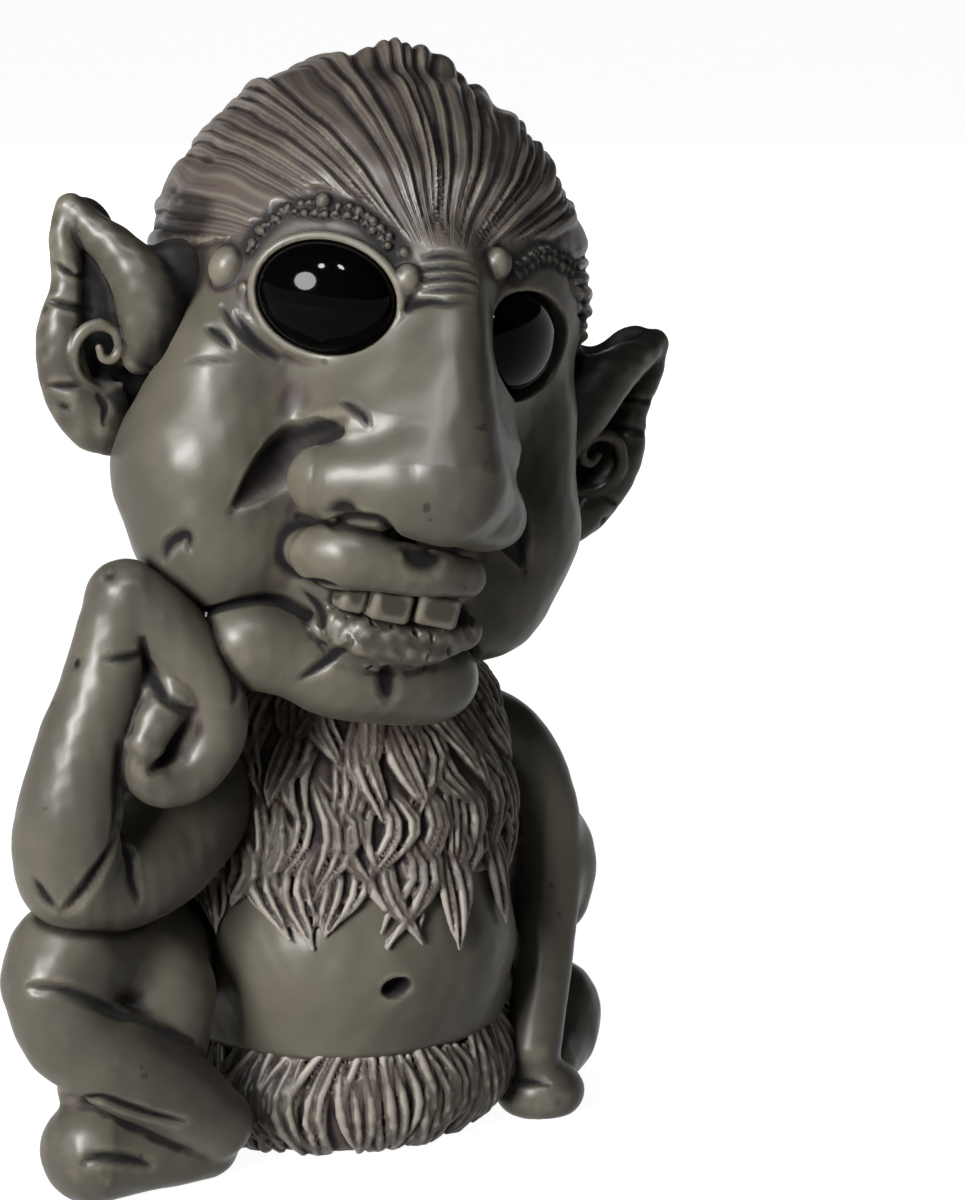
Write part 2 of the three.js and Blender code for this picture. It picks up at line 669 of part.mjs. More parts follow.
const bodyPieces = {};
for (const name of Object.keys(limbClay)) {
  const cutters = [bodyRoom, belowFloor];
  if (legRoom[name]) cutters.push(legRoom[name], headRoomInBody);
  const shape = solid(skin(limbClay[name], skinOf[name]));
  bodyPieces[name] = largest(join(cut(shape, ...cutters), peg(PEGS[name])));
}
const sockets = Object.keys(limbClay).map((name) => peg(PEGS[name], GLUE_GAP));
const felt = { at: [0, 0], radius: FELT_RADIUS };
const torso = join(
  bare.intersect(slab(SKIRT_TOP, MANTLE_HEM)),
  column(HIP_CORE, 0, SKIRT_TOP + 1),
  column(CORE, MANTLE_HEM - 1, CORE.top),
  column(NECK, CORE.top - 1, NECK.top),
);
const chestFur = cut(
  mantle,
  bareRoom.intersect(slab(-WIDE, MANTLE_HEM)),
  column(CORE, 0, CORE.top + GLUE_GAP, GLUE_GAP),
  column(NECK, CORE.top, NECK.top, GLUE_GAP),
  headRoomInBody,
);
const hipFur = cut(skirt, column(HIP_CORE, -1, SKIRT_TOP + 1, GLUE_GAP));
bodyPieces.torso = largest(cut(torso, column(felt, -1, FELT_THICKNESS, GLUE_GAP), ...sockets));
bodyPieces.chest_fur = largest(cut(chestFur, ...sockets));
bodyPieces.hip_fur = largest(cut(hipFur, ...sockets));

// Materials
const resin = (color) => new THREE.MeshStandardMaterial({ color, roughness: 0.5, metalness: 0 });
const SKIN_RESIN = resin(0x7a7567);
const FUR_RESIN = resin(0x6d645f);
const BLACK_GLASS = new THREE.MeshStandardMaterial({ color: 0x050505, roughness: 0.08, metalness: 0 });
const FELT = new THREE.MeshStandardMaterial({ color: 0x2b2a28, roughness: 1, metalness: 0 });

const figure = new THREE.Group();
figure.add(headGroup);

function addMesh(parent, name, geometry, material) {
  const mesh = new THREE.Mesh(geometry, material);
  mesh.name = name;
  parent.add(mesh);
  return mesh;
}

addMesh(headGroup, "head", geometryOf(largest(head)), SKIN_RESIN);
for (const [side, ear] of Object.entries(ears))
  addMesh(headGroup, side + "_ear", geometryOf(ear), SKIN_RESIN);
for (const [side, place] of Object.entries(EYES)) {
  const eye = addMesh(headGroup, side + "_eye", eyeDome(), BLACK_GLASS);
  eyeFrame(place).matrix.decompose(eye.position, eye.quaternion, eye.scale);
}
for (const [name, piece] of Object.entries(bodyPieces))
  addMesh(figure, name, geometryOf(piece), name.endsWith("fur") ? FUR_RESIN : SKIN_RESIN);

const FELT_SIDES = 32;
const feltShape = new THREE.CylinderGeometry(FELT_RADIUS, FELT_RADIUS, FELT_THICKNESS, FELT_SIDES);
addMesh(figure, "felt_pad", feltShape.rotateX(Math.PI / 2), FELT).position.set(0, 0, FELT_THICKNESS / 2);

export default figure;
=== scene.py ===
# Looks of a seated troll ornament in cast resin. Each casting is sculpted as clay, in millimetres and in the
# CAD frame: distances to simple lumps are blended, carved and skinned at a fine cell, then painted by relief.
import json
import math
import bmesh
import bpy
import numpy as np
from mathutils import Matrix

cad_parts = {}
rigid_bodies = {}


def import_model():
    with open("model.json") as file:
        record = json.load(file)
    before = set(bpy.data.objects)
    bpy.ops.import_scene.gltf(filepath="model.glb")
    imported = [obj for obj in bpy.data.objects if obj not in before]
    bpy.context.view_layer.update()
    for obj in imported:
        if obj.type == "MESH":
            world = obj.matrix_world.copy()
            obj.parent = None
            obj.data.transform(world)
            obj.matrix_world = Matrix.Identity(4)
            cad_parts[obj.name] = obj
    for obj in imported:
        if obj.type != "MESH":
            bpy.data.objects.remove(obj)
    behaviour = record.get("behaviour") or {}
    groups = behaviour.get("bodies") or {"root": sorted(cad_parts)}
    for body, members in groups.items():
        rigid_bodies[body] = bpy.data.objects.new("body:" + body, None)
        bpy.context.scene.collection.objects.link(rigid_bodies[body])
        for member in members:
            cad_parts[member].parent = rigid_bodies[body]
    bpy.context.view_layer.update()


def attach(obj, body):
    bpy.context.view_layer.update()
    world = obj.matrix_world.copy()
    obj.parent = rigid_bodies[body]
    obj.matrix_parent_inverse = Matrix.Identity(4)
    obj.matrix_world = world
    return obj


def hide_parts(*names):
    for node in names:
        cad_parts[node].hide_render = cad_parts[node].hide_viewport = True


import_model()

MM = 0.001
FAR = 60.0  # millimetres: further than any lump reaches
TINY = 1e-9
SKIN_CELL = 0.52
FUR_CELL = 0.38
EAR_CELL = 0.36
HEAD_CELL = 0.42

# Camera. It stands to the figure's right of its front and a little above it.
PHOTO_SIZE = (966, 1200)
CAMERA_AZIMUTH = math.radians(-24)
CAMERA_ELEVATION = math.radians(14)
CAMERA_DISTANCE = 600.0
PIXELS_PER_MM = 7.3
ORIGIN_PIXEL = (330, 1112)
SENSOR = 36.0
RIGHT = np.array([math.cos(CAMERA_AZIMUTH), math.sin(CAMERA_AZIMUTH), 0.0])
BACK = np.array([
    math.sin(CAMERA_AZIMUTH) * math.cos(CAMERA_ELEVATION),
    -math.cos(CAMERA_AZIMUTH) * math.cos(CAMERA_ELEVATION),
    math.sin(CAMERA_ELEVATION),
])
UP = np.cross(BACK, RIGHT)
FOCAL_PIXELS = CAMERA_DISTANCE * PIXELS_PER_MM
MIDDLE_PIXEL = (PHOTO_SIZE[0] / 2, PHOTO_SIZE[1] / 2)
TARGET = (
    (MIDDLE_PIXEL[0] - ORIGIN_PIXEL[0]) / PIXELS_PER_MM * RIGHT
    + (ORIGIN_PIXEL[1] - MIDDLE_PIXEL[1]) / PIXELS_PER_MM * UP
)
CAMERA_PLACE = TARGET + CAMERA_DISTANCE * BACK


def set_down(thing, side, up, out, place):
    """Puts an object in the scene at a place in metres, its X, Y and Z along the three directions."""
    bpy.context.scene.collection.objects.link(thing)
    thing.matrix_world = Matrix([*zip(side, up, out, place), (0, 0, 0, 1)])


camera_data = bpy.data.cameras.new("camera")
camera_data.sensor_fit = "VERTICAL"
camera_data.sensor_height = SENSOR
camera_data.lens = FOCAL_PIXELS / PHOTO_SIZE[1] * SENSOR
camera_data.clip_start = 0.01
camera_data.clip_end = 20
camera = bpy.data.objects.new("camera", camera_data)
set_down(camera, RIGHT, UP, BACK, CAMERA_PLACE * MM)
bpy.context.scene.camera = camera
bpy.context.scene.view_settings.view_transform = "Standard"


# Clay: shapes as signed distances, negative inside, each with the box that holds it
class Lump:
    def __init__(self, distance, low, high):
        self.distance = distance
        self.low = np.asarray(low, float)
        self.high = np.asarray(high, float)


def turn_matrix(degrees):
    """Rotation about X, then Y, then Z of the turned axes."""
    a, b, c = np.radians(degrees)
    about_x = np.array([[1, 0, 0], [0, math.cos(a), -math.sin(a)], [0, math.sin(a), math.cos(a)]])
    about_y = np.array([[math.cos(b), 0, math.sin(b)], [0, 1, 0], [-math.sin(b), 0, math.cos(b)]])
    about_z = np.array([[math.cos(c), -math.sin(c), 0], [math.sin(c), math.cos(c), 0], [0, 0, 1]])
    return about_x @ about_y @ about_z


def ellipsoid(at, radii, turn=(0, 0, 0)):
    axes = turn_matrix(turn)
    middle = np.array(at, float)
    sizes = np.array(radii, float)

    def distance(p):
        q = (p - middle) @ axes / sizes
        share = np.linalg.norm(q, axis=1)
        slope = np.linalg.norm(q / sizes, axis=1)
        return share * (share - 1) / np.maximum(slope, TINY)

    reach = sizes.max()
    return Lump(distance, middle - reach, middle + reach)


def curve_through(points, steps):
    """Points on a smooth curve through the given ones; a fourth number, the radius, goes along."""
    points = np.asarray(points, float)
    ends = np.vstack([2 * points[0] - points[1], points, 2 * points[-1] - points[-2]])
    curve = []
    for before, start, end, after in zip(ends[:-3], ends[1:-2], ends[2:-1], ends[3:]):
        for t in np.arange(steps) / steps:
            bend = 2 * start + (end - before) * t + (2 * before - 5 * start + 4 * end - after) * t ** 2
            curve.append((bend + (3 * start - before - 3 * end + after) * t ** 3) / 2)
    curve.append(points[-1])
    return np.array(curve)


def links_of(nodes, p):
    """How far along and off each link between nodes [x, y, z, value] points are, and the value there."""
    for start, end in zip(nodes[:-1], nodes[1:]):
        axis = end[:3] - start[:3]
        from_start = p - start[:3]
        share = np.clip(from_start @ axis / max(axis @ axis, TINY), 0, 1)
        away = np.linalg.norm(from_start - share[:, None] * axis, axis=1)
        yield share, away, start[3] + share * (end[3] - start[3])


def chain_distance(p, nodes):
    """Distance to a chain of round cones with a node [x, y, z, radius] at each joint."""
    return np.min([away - radius for share, away, radius in links_of(nodes, p)], axis=0)


def along_line(p, nodes):
    """Distance to a line through nodes [x, y, z, value], and the value at the nearest place on it."""
    nearest = np.full(len(p), FAR)
    value = np.zeros(len(p))
    for share, away, here in links_of(nodes, p):
        closer = away < nearest
        nearest[closer] = away[closer]
        value[closer] = here[closer]
    return nearest, value


def limb(points, steps=4):
    """A round limb on a smooth curve through points [x, y, z, radius]."""
    points = np.asarray(points, float)
    nodes = curve_through(points, steps)
    ends = np.vstack([2 * points[0] - points[1], points, 2 * points[-1] - points[-2]])
    before, start, end, after = ends[:-3], ends[1:-2], ends[2:-1], ends[3:]
    cubic = np.stack([
        start, (end - before) / 2, (2 * before - 5 * start + 4 * end - after) / 2,
        (3 * start - before - 3 * end + after) / 2,
    ], axis=1)

    def course(along):
        """The place and radius on the curve, its speed and its bend."""
        span = np.clip(np.floor(along).astype(int), 0, len(cubic) - 1)
        a, b, c, d = (cubic[span, power] for power in range(4))
        t = (along - span)[:, None]
        speed = b + 2 * c * t + 3 * d * t * t
        return a + b * t + c * t * t + d * t ** 3, speed[:, :3], (2 * c + 6 * d * t)[:, :3]

    def distance(p):
        nearest = np.full(len(p), FAR)
        along = np.zeros(len(p))
        for number, (share, away, radius) in enumerate(links_of(nodes, p)):
            closer = away - radius < nearest
            nearest[closer] = (away - radius)[closer]
            along[closer] = (number + share[closer]) / steps
        for _ in range(2):
            spot, speed, bend = course(along)
            gap = p - spot[:, :3]
            fall = np.maximum((speed ** 2).sum(1) - (gap * bend).sum(1), 0.3 * (speed ** 2).sum(1))
            along = np.clip(along + (gap * speed).sum(1) / np.maximum(fall, TINY), 0, len(cubic))
        spot = course(along)[0]
        return np.linalg.norm(p - spot[:, :3], axis=1) - spot[:, 3]

    reach = nodes[:, 3].max()
    return Lump(distance, nodes[:, :3].min(0) - reach, nodes[:, :3].max(0) + reach)


def within(p, low, high):
    """Which points are inside a box."""
    return np.all((p > low) & (p < high), axis=1)


def smooth_min(a, b, blend):
    overlap = np.maximum(blend - np.abs(a - b), 0) / blend
    return np.minimum(a, b) - overlap * overlap * blend / 4


MARGIN = 3  # a lump counts this far outside its box, and its blend further


def clay(*parts):
    """Lumps joined in turn, each with its own blend, as (lump, blend). A negative blend cuts the lump out."""
    def distance(p):
        joined = np.full(len(p), FAR)
        if not len(p):
            return joined
        lowest = p.min(0)
        highest = p.max(0)
        for lump, blend in parts:
            margin = MARGIN + abs(blend)
            if np.any(lump.low - margin > highest) or np.any(lump.high + margin < lowest):
                continue
            near = within(p, lump.low - margin, lump.high + margin)
            there = lump.distance(p[near])
            if blend > 0:
                joined[near] = smooth_min(joined[near], there, blend)
            else:
                joined[near] = -smooth_min(-joined[near], there, -blend)
        return joined

    added = [lump for lump, blend in parts if blend > 0]
    low = np.min([lump.low for lump in added], axis=0)
    high = np.max([lump.high for lump in added], axis=0)
    return Lump(distance, low, high)


def shaped(lump, relief, reach=1.0):
    """The lump with its skin raised by relief(points), in millimetres."""
    return Lump(lambda p: lump.distance(p) - relief(p), lump.low - reach, lump.high + reach)


def smooth_step(low, high, value):
    share = np.clip((value - low) / (high - low), 0, 1)
    return share * share * (3 - 2 * share)


def waves(p, length, seed, count=6):
    """A soft random field of about -1 to 1, whose swells are about the given length apart."""
    numbers = np.random.default_rng(seed)
    total = np.zeros(len(p))
    for _ in range(count):
        direction = numbers.normal(size=3)
        direction *= 2 * math.pi / (length * numbers.uniform(0.7, 1.5)) / np.linalg.norm(direction)
        total += np.sin(p @ direction + numbers.uniform(0, 2 * math.pi))
    return total / math.sqrt(count)


# Skinning: one closed sheet of quads over the cells of a grid where a lump's distance is zero
CORNERS = np.array([[c & 1, (c >> 1) & 1, c >> 2] for c in range(8)])
EDGES = [(a, a | bit) for a in range(8) for bit in (1, 2, 4) if not a & bit]
COARSE = 4  # cells of the fine grid to one of the coarse grid, which finds where the skin is
SLACK = 1.2  # millimetres by which a lump's distance may be off


def linked(members):
    """Whether edges of the cell join the corners."""
    reached = members[:1]
    for corner in reached:
        beside = [corner ^ bit for bit in (1, 2, 4)]
        reached += [other for other in beside if other in members and other not in reached]
    return len(reached) == len(members)


def holds_two_sheets(code):
    """Whether one vertex is too few for a cell, given which corners are inside, as bits."""
    inside = [c for c in range(8) if code >> c & 1]
    outside = [c for c in range(8) if not code >> c & 1]
    for bit in (1, 2, 4):
        for side in (0, bit):
            a, b, c, d = [corner in inside for corner in range(8) if corner & bit == side]
            if a == d and b == c and a != b:
                return True
    return bool(inside and outside) and not (linked(inside) and linked(outside))


TWO_SHEETS = np.array([holds_two_sheets(code) for code in range(256)])


def corner_block(values, corner, size):
    i, j, k = CORNERS[corner]
    return values[i:i + size[0], j:j + size[1], k:k + size[2]]


def sample(lump, cell):
    """Distances on a grid: exact near the skin, and elsewhere only right in sign."""
    low = lump.low - 3 * cell
    blocks = np.ceil((lump.high + 3 * cell - low) / (cell * COARSE)).astype(int)
    axes = [low[axis] + cell * np.arange(blocks[axis] * COARSE + 1) for axis in range(3)]
    coarse_axes = [axis[::COARSE] for axis in axes]
    coarse_points = np.stack(np.meshgrid(*coarse_axes, indexing="ij"), axis=-1).reshape(-1, 3)
    coarse = lump.distance(coarse_points).reshape([len(axis) for axis in coarse_axes])
    nearest = [(np.arange(len(axis)) + COARSE // 2) // COARSE for axis in axes]
    values = coarse[np.ix_(*nearest)]
    near = np.abs(values) < 0.95 * COARSE * cell + SLACK
    values[near] = in_chunks(lump.distance, low + cell * np.argwhere(near))
    return low, values


def skin(lump, cell):
    """Vertices, normals and quads of a lump's skin. Corners are filled until no cell holds two sheets."""
    low, values = sample(lump, cell)
    size = np.array(values.shape) - 1
    while True:
        code = np.zeros(size, np.uint8)
        for corner in range(8):
            code |= (corner_block(values, corner, size) < 0).astype(np.uint8) << corner
        split = np.argwhere(TWO_SHEETS[code])
        if not len(split):
            break
        corners = split[:, None, :] + CORNERS[None]
        held = values[corners[..., 0], corners[..., 1], corners[..., 2]]
        pick = np.where(held < 0, np.inf, held).argmin(axis=1)
        filled = corners[np.arange(len(split)), pick]
        values[filled[:, 0], filled[:, 1], filled[:, 2]] = -1e-3
    cells = np.argwhere((code > 0) & (code < 255))
    corners = cells[:, None, :] + CORNERS[None]
    held = values[corners[..., 0], corners[..., 1], corners[..., 2]]
    total = np.zeros((len(cells), 3))
    count = np.zeros(len(cells))
    for a, b in EDGES:
        crossed = (held[:, a] < 0) != (held[:, b] < 0)
        share = np.clip(held[crossed, a] / (held[crossed, a] - held[crossed, b]), 0.02, 0.98)
        total[crossed] += CORNERS[a] + share[:, None] * (CORNERS[b] - CORNERS[a])
        count[crossed] += 1
    vertices = low + cell * (cells + total / count[:, None])
    number = np.full(size, -1, np.int64)
    number[cells[:, 0], cells[:, 1], cells[:, 2]] = np.arange(len(cells))
    inside = values < 0
    step = np.eye(3, dtype=int)
    quads = []
    for axis in range(3):
        u, w = (axis + 1) % 3, (axis + 2) % 3
        here = tuple(slice(1, -1) if other != axis else slice(0, -1) for other in range(3))
        there = tuple(slice(1, -1) if other != axis else slice(1, None) for other in range(3))
        crossing = np.argwhere(inside[here] != inside[there])
        crossing += [1 if other != axis else 0 for other in range(3)]
        ring = [crossing, crossing - step[u], crossing - step[u] - step[w], crossing - step[w]]
        quad = np.stack([number[r[:, 0], r[:, 1], r[:, 2]] for r in ring], axis=1)
        outward = inside[crossing[:, 0], crossing[:, 1], crossing[:, 2]]
        quads.append(np.where(outward[:, None], quad, quad[:, ::-1]))
    return *settle(lump, vertices, cell), np.concatenate(quads)


TETRAHEDRON = np.array([[1, 1, 1], [1, -1, -1], [-1, 1, -1], [-1, -1, 1]], float)


def in_chunks(measure, p, size=30000):
    """Measures many points a stretch at a time, so that lumps far from a stretch cost nothing."""
    return np.concatenate([measure(chunk) for chunk in np.array_split(p, max(1, len(p) // size))])


def slope_at(lump, p, reach):
    """Distance and its gradient, from four samples round each point."""
    samples = [in_chunks(lump.distance, p + reach * corner) for corner in TETRAHEDRON]
    gradient = sum(value[:, None] * corner for value, corner in zip(samples, TETRAHEDRON)) / (4 * reach)
    return sum(samples) / 4, gradient


def steepness(gradient):
    """Squared slope, kept from nearing zero because a step towards the skin divides by it."""
    return np.maximum((gradient ** 2).sum(axis=1), 0.25)


def settle(lump, vertices, cell):
    """Vertices moved onto the skin along its gradient, and their normals."""
    value, gradient = slope_at(lump, vertices, cell * 0.3)
    step = np.clip(value / steepness(gradient), -0.4 * cell, 0.4 * cell)
    length = np.maximum(np.linalg.norm(gradient, axis=1), TINY)
    return vertices - step[:, None] * gradient, gradient / length[:, None]


# Painting: how far each vertex stands above its surroundings, for the wash and painted shade in hollows and
# the rub on ridges
def reliefs(vertices, normals, quads, rounds):
    """Height of each vertex over the skin smoothed by each number of rounds, in millimetres."""
    a = quads.ravel()
    b = np.roll(quads, -1, axis=1).ravel()
    links = np.bincount(a, minlength=len(vertices)) + np.bincount(b, minlength=len(vertices))
    smoothed = vertices.copy()
    heights = []
    for done in range(1, max(rounds) + 1):
        around = np.empty_like(smoothed)
        for axis in range(3):
            around[:, axis] = np.bincount(a, smoothed[b, axis], len(vertices))
            around[:, axis] += np.bincount(b, smoothed[a, axis], len(vertices))
        smoothed = 0.5 * smoothed + 0.5 * around / links[:, None]
        if done in rounds:
            heights.append(((vertices - smoothed) * normals).sum(axis=1))
    return heights


def put_in(name, mesh, material):
    """An object that stands for the CAD node of its name."""
    mesh.materials.append(material)
    piece = bpy.data.objects.new(name, mesh)
    bpy.context.scene.collection.objects.link(piece)
    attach(piece, "root")
    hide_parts(name)


FINE_LENGTH = 1.1
BROAD_LENGTH = 3.2


def cast_piece(name, lump, cell, material, marks, in_head=False):
    """Skins a lump, works out its relief and its marks, and puts it in the scene for the node of its name."""
    vertices, normals, quads = skin(lump, cell)
    rounds = [max(2, round((length / cell) ** 2)) for length in (FINE_LENGTH, BROAD_LENGTH)]
    fine, broad = reliefs(vertices, normals, quads, rounds)
    attributes = {"relief_fine": fine, "relief_broad": broad, **marks(vertices)}
    if in_head:
        vertices = from_head(vertices)
        normals = normals @ HEAD_AXES.T
    mesh = bpy.data.meshes.new(name)
    mesh.vertices.add(len(vertices))
    mesh.vertices.foreach_set("co", (vertices * MM).astype(np.float32).ravel())
    mesh.loops.add(quads.size)
    mesh.loops.foreach_set("vertex_index", quads.astype(np.int32).ravel())
    mesh.polygons.add(len(quads))
    mesh.polygons.foreach_set("loop_start", np.arange(0, quads.size, 4, dtype=np.int32))
    mesh.polygons.foreach_set("use_smooth", np.ones(len(quads), bool))
    mesh.update(calc_edges=True)
    mesh.validate()
    mesh.normals_split_custom_set_from_vertices(normals)
    for attribute, values in attributes.items():
        layer = mesh.attributes.new(attribute, "FLOAT", "POINT")
        layer.data.foreach_set("value", values.astype(np.float32))
    put_in(name, mesh, material)


# Head frame: placed between the ears, leaning to the figure's left
HEAD_PLACE = np.array([3.0, 2.0, 101.0])
HEAD_LEAN = math.radians(16)
FLIP = np.array([-1, 1, 1])  # over the head's middle plane
HEAD_AXES = np.array([
    [math.cos(HEAD_LEAN), 0, math.sin(HEAD_LEAN)],
    [0, 1, 0],
    [-math.sin(HEAD_LEAN), 0, math.cos(HEAD_LEAN)],
])


def from_head(p):
    return p @ HEAD_AXES.T + HEAD_PLACE


def into_head(p):
    return (p - HEAD_PLACE) @ HEAD_AXES


def mirrored(points):
    """The same points on the other side of the head's middle plane."""
    return [(-x, *rest) for x, *rest in points]


def both(at, radii, blend):
    """An ellipsoid on each side of the head."""
    return (ellipsoid(at, radii), blend), (ellipsoid((-at[0], *at[1:]), radii), blend)


def sight(pixels):
    """Directions in which the camera sees pixels of the photo."""
    across, upward = ((np.asarray(pixels, float) - MIDDLE_PIXEL) * (1, -1) / FOCAL_PIXELS).T
    return across[:, None] * RIGHT + upward[:, None] * UP - BACK


CAMERA_CLEAR = 120.0  # nothing of the figure is nearer to the camera than its distance less this
SIGHT_STEPS = 160


def on_skin(lump, pixels, to_lump=lambda p: p):
    """Where the camera sees each pixel of the photo on a lump."""
    rays = sight(pixels)
    rays /= np.linalg.norm(rays, axis=1)[:, None]
    start = to_lump(CAMERA_PLACE[None])
    rays = to_lump(CAMERA_PLACE + rays) - start
    travelled = np.full(len(rays), CAMERA_DISTANCE - CAMERA_CLEAR)
    for _ in range(SIGHT_STEPS):
        gap = lump.distance(start + travelled[:, None] * rays)
        travelled += np.clip(gap, -0.5, 2.5)
        if np.abs(gap).max() < 0.01:
            break
    return start + travelled[:, None] * rays


def at_front(x, y, front):
    """Where a pixel's line of sight meets the plane y = front of the head's frame, in that frame."""
    ray = sight([(x, y)])[0]
    travelled = (front + HEAD_PLACE[1] - CAMERA_PLACE[1]) / ray[1]
    return into_head(CAMERA_PLACE + travelled * ray)


def seen(points):
    """Nodes of a limb from (pixel x, pixel y, front, radius)."""
    return [(*at_front(x, y, front), radius) for x, y, front, radius in points]


class Crease:
    """A line pressed into a skin with a knife. It fades out at both ends, and its floor is painted
    near-black, a painted shade that deepens the finish's wash.
    """

    def __init__(self, points, floor, width, depth):
        curve = curve_through(points, 4)
        fade = 0.15 + 0.85 * np.sin(math.pi * np.linspace(0.03, 0.97, len(curve))) ** 0.6
        self.nodes = np.column_stack([curve[:, :3], fade])
        self.floor = np.column_stack([curve_through(floor, 4)[:, :3], fade])
        self.width = width
        self.depth = depth
        self.low = curve[:, :3].min(0) - 3 * width
        self.high = curve[:, :3].max(0) + 3 * width

    def share(self, nodes, p, width):
        """1 on the line, falling to 0 at the given distance from it."""
        share = np.zeros(len(p))
        near = within(p, self.low, self.high)
        if near.any():
            away, fade = along_line(p[near], nodes)
            share[near] = fade * np.clip(1 - away / (width * (0.4 + 0.6 * fade)), 0, 1) ** 2
        return share

    def relief(self, p):
        return -self.depth * self.share(self.nodes, p, 2.2 * self.width)

    # Near-black painted shade along the crease's floor
    def ink(self, p):
        reach = 1.4 * self.width + 0.4
        return np.clip(2.6 * min(self.depth, 1.3) * self.share(self.floor, p, reach), 0, 1)


def all_of(*relief_parts):
    return lambda p: sum(part(p) for part in relief_parts)


def valley(p, one, other, reach):
    """1 where the skins of two lumps meet, 0 at the given distance from there."""
    near = one.distance(p)
    share = np.zeros(len(p))
    close = np.abs(near) < reach
    if close.any():
        away = np.abs(near[close]) + np.abs(other.distance(p[close]))
        share[close] = smooth_step(reach, 0.3 * reach, away)
    return share


# Head clay, in the head's frame
# Pixels of the photo stand with how far back they are, and a limb's with its radius, in millimetres.
TUFT = [(362, 78, 4, 2.2), (388, 62, 5, 2.6), (426, 76, 6, 2.8)]
SKULL = clay(
    (ellipsoid((1.8, 3, 14.5), (29, 29.5, 26.5)), 6),
    (ellipsoid((2, 8, 25), (21, 20, 17.2)), 6),
    (ellipsoid((0, -13, 13), (21, 11.5, 11)), 6),
    (ellipsoid((1.5, 13, -10), (24, 17, 25)), 8),
    (ellipsoid((0, -16, 3), (17, 12, 15)), 6),
    (ellipsoid((1, -10, -14), (20, 18.5, 20)), 8),
    (ellipsoid((1.5, -23.5, -20), (13, 8, 9)), 3),
    (ellipsoid((2, -8, -26), (17, 16, 13)), 6),
    *both((22, -11, 0), (7, 9, 9), 6),
    *both((21, -12, -13), (11.5, 13, 13), 5),
    *both((18, -15.7, -21), (11, 10, 10), 3),
    (limb(seen(TUFT)), 3),
)
JOWL_AT = (12.5, -21.5, -32.6)
CHIN = clay((ellipsoid((2, -21.5, -33.2), (14, 9.5, 7.2)), 1), *both(JOWL_AT, (7, 6.8, 5.9), 4))
NOSE = [(0, -25, 19, 4.2), (0, -29.5, 11, 5.2), (0, -33.5, 3, 6.6), (0.5, -36.5, -5.5, 8.4)]
NOSE_FLANK = [(414, 312, -20.5, 2.4), (405, 335, -23, 3.6), (385, 385, -26.5, 5), (368, 430, -29, 6)]
WING = [(425, 480, -36.5, 6.8), (385, 483, -34, 6.1), (347, 482, -31.5, 5.4), (324, 480, -29.5, 4.6)]
UPPER_LIP = [
    (306, 550, -26.5, 2.6), (320, 554, -29.5, 3.8), (347, 556, -31.8, 4.3), (385, 565, -33.8, 3.6),
    (430, 573, -34, 3.0), (466, 577, -32, 2.6),
]
LOWER_LIP = [(334, 626, -28, 2.4), (368, 640, -30.4, 3.0), (418, 643, -30.8, 3.0), (462, 632, -28.8, 2.4)]
MOUTH = [(338, 600, -31, 1.5), (370, 605, -33, 2.1), (420, 610, -33.5, 2.3), (462, 610, -31.5, 1.7)]


def two_sided(points, blend):
    """A limb and its mirror image on the far side of the head."""
    return (limb(points), blend), (limb(mirrored(points)), blend)


WINGS = clay(*two_sided(seen(WING), 1))
UPPER_LIP_CLAY = limb(seen(UPPER_LIP))
LOWER_LIP_CLAY = limb(seen(LOWER_LIP))
MOUTH_HOLLOW = limb(seen(MOUTH))
FACE_MASS = clay((SKULL, 6), (CHIN, 1), (limb(NOSE), 4), *two_sided(seen(NOSE_FLANK), 6))
FACE_BASE = clay((FACE_MASS, 1), (WINGS, 1.6), (UPPER_LIP_CLAY, 1.2), (LOWER_LIP_CLAY, 2))

# Eyes: each a glossy dome on its rim, that looks out along its axis
EYE_HALF = (9.0, 7.0)
EYE_DOME = 5.0
EYE_SEAT = 3.0
EYE_REACH = 14
LID_RADIUS = 0.8
EYES = {"right": ((-14.6, -22.4, 12.4), math.radians(-33)), "left": ((11.6, -22.2, 12), math.radians(36))}


def eye_axes(yaw):
    """Columns: across the eye, up it, and out of it."""
    return np.array([
        [math.cos(yaw), 0, math.sin(yaw)],
        [math.sin(yaw), 0, -math.cos(yaw)],
        [0, 1, 0],
    ])


def eye_ring(place, yaw, grow, lift, radius, start=0, end=360, count=17):
    """Points with a radius round an eye, from start to end in degrees, counted from its left corner."""
    angles = np.radians(np.linspace(start, end, count))
    across = (EYE_HALF[0] + grow) * np.cos(angles)
    upward = (EYE_HALF[1] + grow) * np.sin(angles)
    local = np.column_stack([across, upward, np.full(count, lift)])
    return np.column_stack([np.array(place) + local @ eye_axes(yaw).T, np.full(count, radius)])


def eye_socket(place, yaw):
    """A hollow a little larger than the dome, open to the front."""
    axes = eye_axes(yaw)
    middle = np.array(place)
    sizes = np.array(EYE_HALF) + 0.1

    def distance(p):
        q = (p - middle) @ axes
        share = np.hypot(q[:, 0] / sizes[0], q[:, 1] / sizes[1])
        rim = (share - 1) * sizes.min()
        return np.maximum(rim, -EYE_SEAT - q[:, 2])

    return Lump(distance, middle - EYE_REACH, middle + EYE_REACH)


